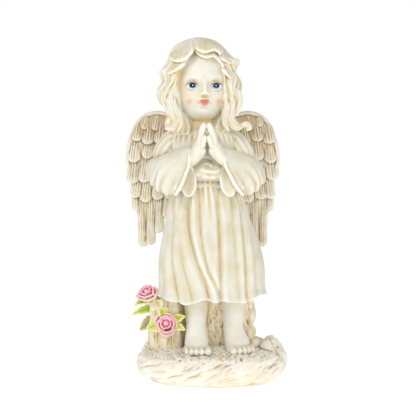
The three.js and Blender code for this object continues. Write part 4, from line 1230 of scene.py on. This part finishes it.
# %% Pieces
PIECES = [(ground, rock_paint), (growth, bark_paint), (skin, skin_paint), (dress, dress_paint),
          (hair, hair_paint), (wings, wing_paint), (roses, rose_paint), (leaves, leaf_paint)]
for piece, paint in PIECES:
    piece.data.materials.clear()
    piece.data.materials.append(paint)
    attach(piece, "root")
    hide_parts(CASTING)
print(sum(len(piece.data.polygons) for piece, _ in PIECES), "triangles in all")

# %% [markdown]
# ## Studio
# A white floor and a white sky give the soft even light of a shop photograph. The floor glows a little, and
# the camera sees a pure white backdrop, so that no horizon shows. One large lamp from the upper left models
# the form, a low one fills the shadows under the skirt, and the camera stands level with the belt, 80 cm
# away.

# %% Floor, light and camera
WHITE, FLOOR_GLOW, SKY_LIGHT = (1, 1, 1, 1), 0.46, 0.6
FIGURE_MIDDLE = (0, 0, 0.16)
CAMERA_PLACE, CAMERA_AIM, FOCAL_LENGTH, SENSOR_WIDTH = (-0.0026, -0.8, 0.175), (-0.0026, 0, 0.1508), 78.9, 36
floor_mesh = bpy.data.meshes.new("floor")
floor_mesh.from_pydata([(-3, -3, 0), (3, -3, 0), (3, 3, 0), (-3, 3, 0)], [], [(0, 1, 2, 3)])
floor = bpy.data.objects.new("floor", floor_mesh)
bpy.context.scene.collection.objects.link(floor)
floor_paint, tree, place = start_paint("pale_floor")
finish_paint(tree, place, mottled(tree, place, "#fbfbfa", "#f6f6f4", 400), rough=(0.7, 0.8), tooth=0.02)
floor_shader = tree.nodes["Principled BSDF"]
floor_shader.inputs["Emission Color"].default_value = WHITE
floor_shader.inputs["Emission Strength"].default_value = FLOOR_GLOW
floor_mesh.materials.append(floor_paint)

world = bpy.data.worlds.new("studio")
bpy.context.scene.world = world
world.use_nodes = True
sky = world.node_tree.nodes["Background"]
sky.inputs["Color"].default_value = WHITE
sky.inputs["Strength"].default_value = SKY_LIGHT
backdrop = add(world.node_tree, "ShaderNodeBackground", {"Color": WHITE, "Strength": 1.0})
seen = add(world.node_tree, "ShaderNodeLightPath").outputs["Is Camera Ray"]
both = add(world.node_tree, "ShaderNodeMixShader", {0: seen, 1: sky.outputs[0], 2: backdrop.outputs[0]})
world.node_tree.links.new(both.outputs[0], world.node_tree.nodes["World Output"].inputs["Surface"])


def aim(thing, place, target):
    """Stand a lamp or a camera at a place and turn it to look at the target."""
    thing.location = place
    thing.rotation_euler = (Vector(target) - Vector(place)).to_track_quat("-Z", "Y").to_euler()
    bpy.context.scene.collection.objects.link(thing)


def lamp(name, place, size, watts, tint):
    """A square soft lamp that looks at the middle of the figure."""
    light = bpy.data.lights.new(name, "AREA")
    light.size, light.energy, light.color = size, watts, tint
    aim(bpy.data.objects.new(name, light), place, FIGURE_MIDDLE)


lamp("key", (-0.55, -0.75, 0.95), 0.5, 3.9, (1.0, 0.99, 0.97))
lamp("fill", (0.5, -0.95, 0.12), 0.7, 3.1, (1.0, 0.98, 0.94))
lens = bpy.data.cameras.new("camera")
lens.lens, lens.sensor_width = FOCAL_LENGTH, SENSOR_WIDTH
camera = bpy.data.objects.new("camera", lens)
aim(camera, CAMERA_PLACE, CAMERA_AIM)
bpy.context.scene.camera = camera
bpy.context.scene.view_settings.view_transform = "Standard"
print("two lamps, and a camera", -CAMERA_PLACE[1], "m in front of the figure")
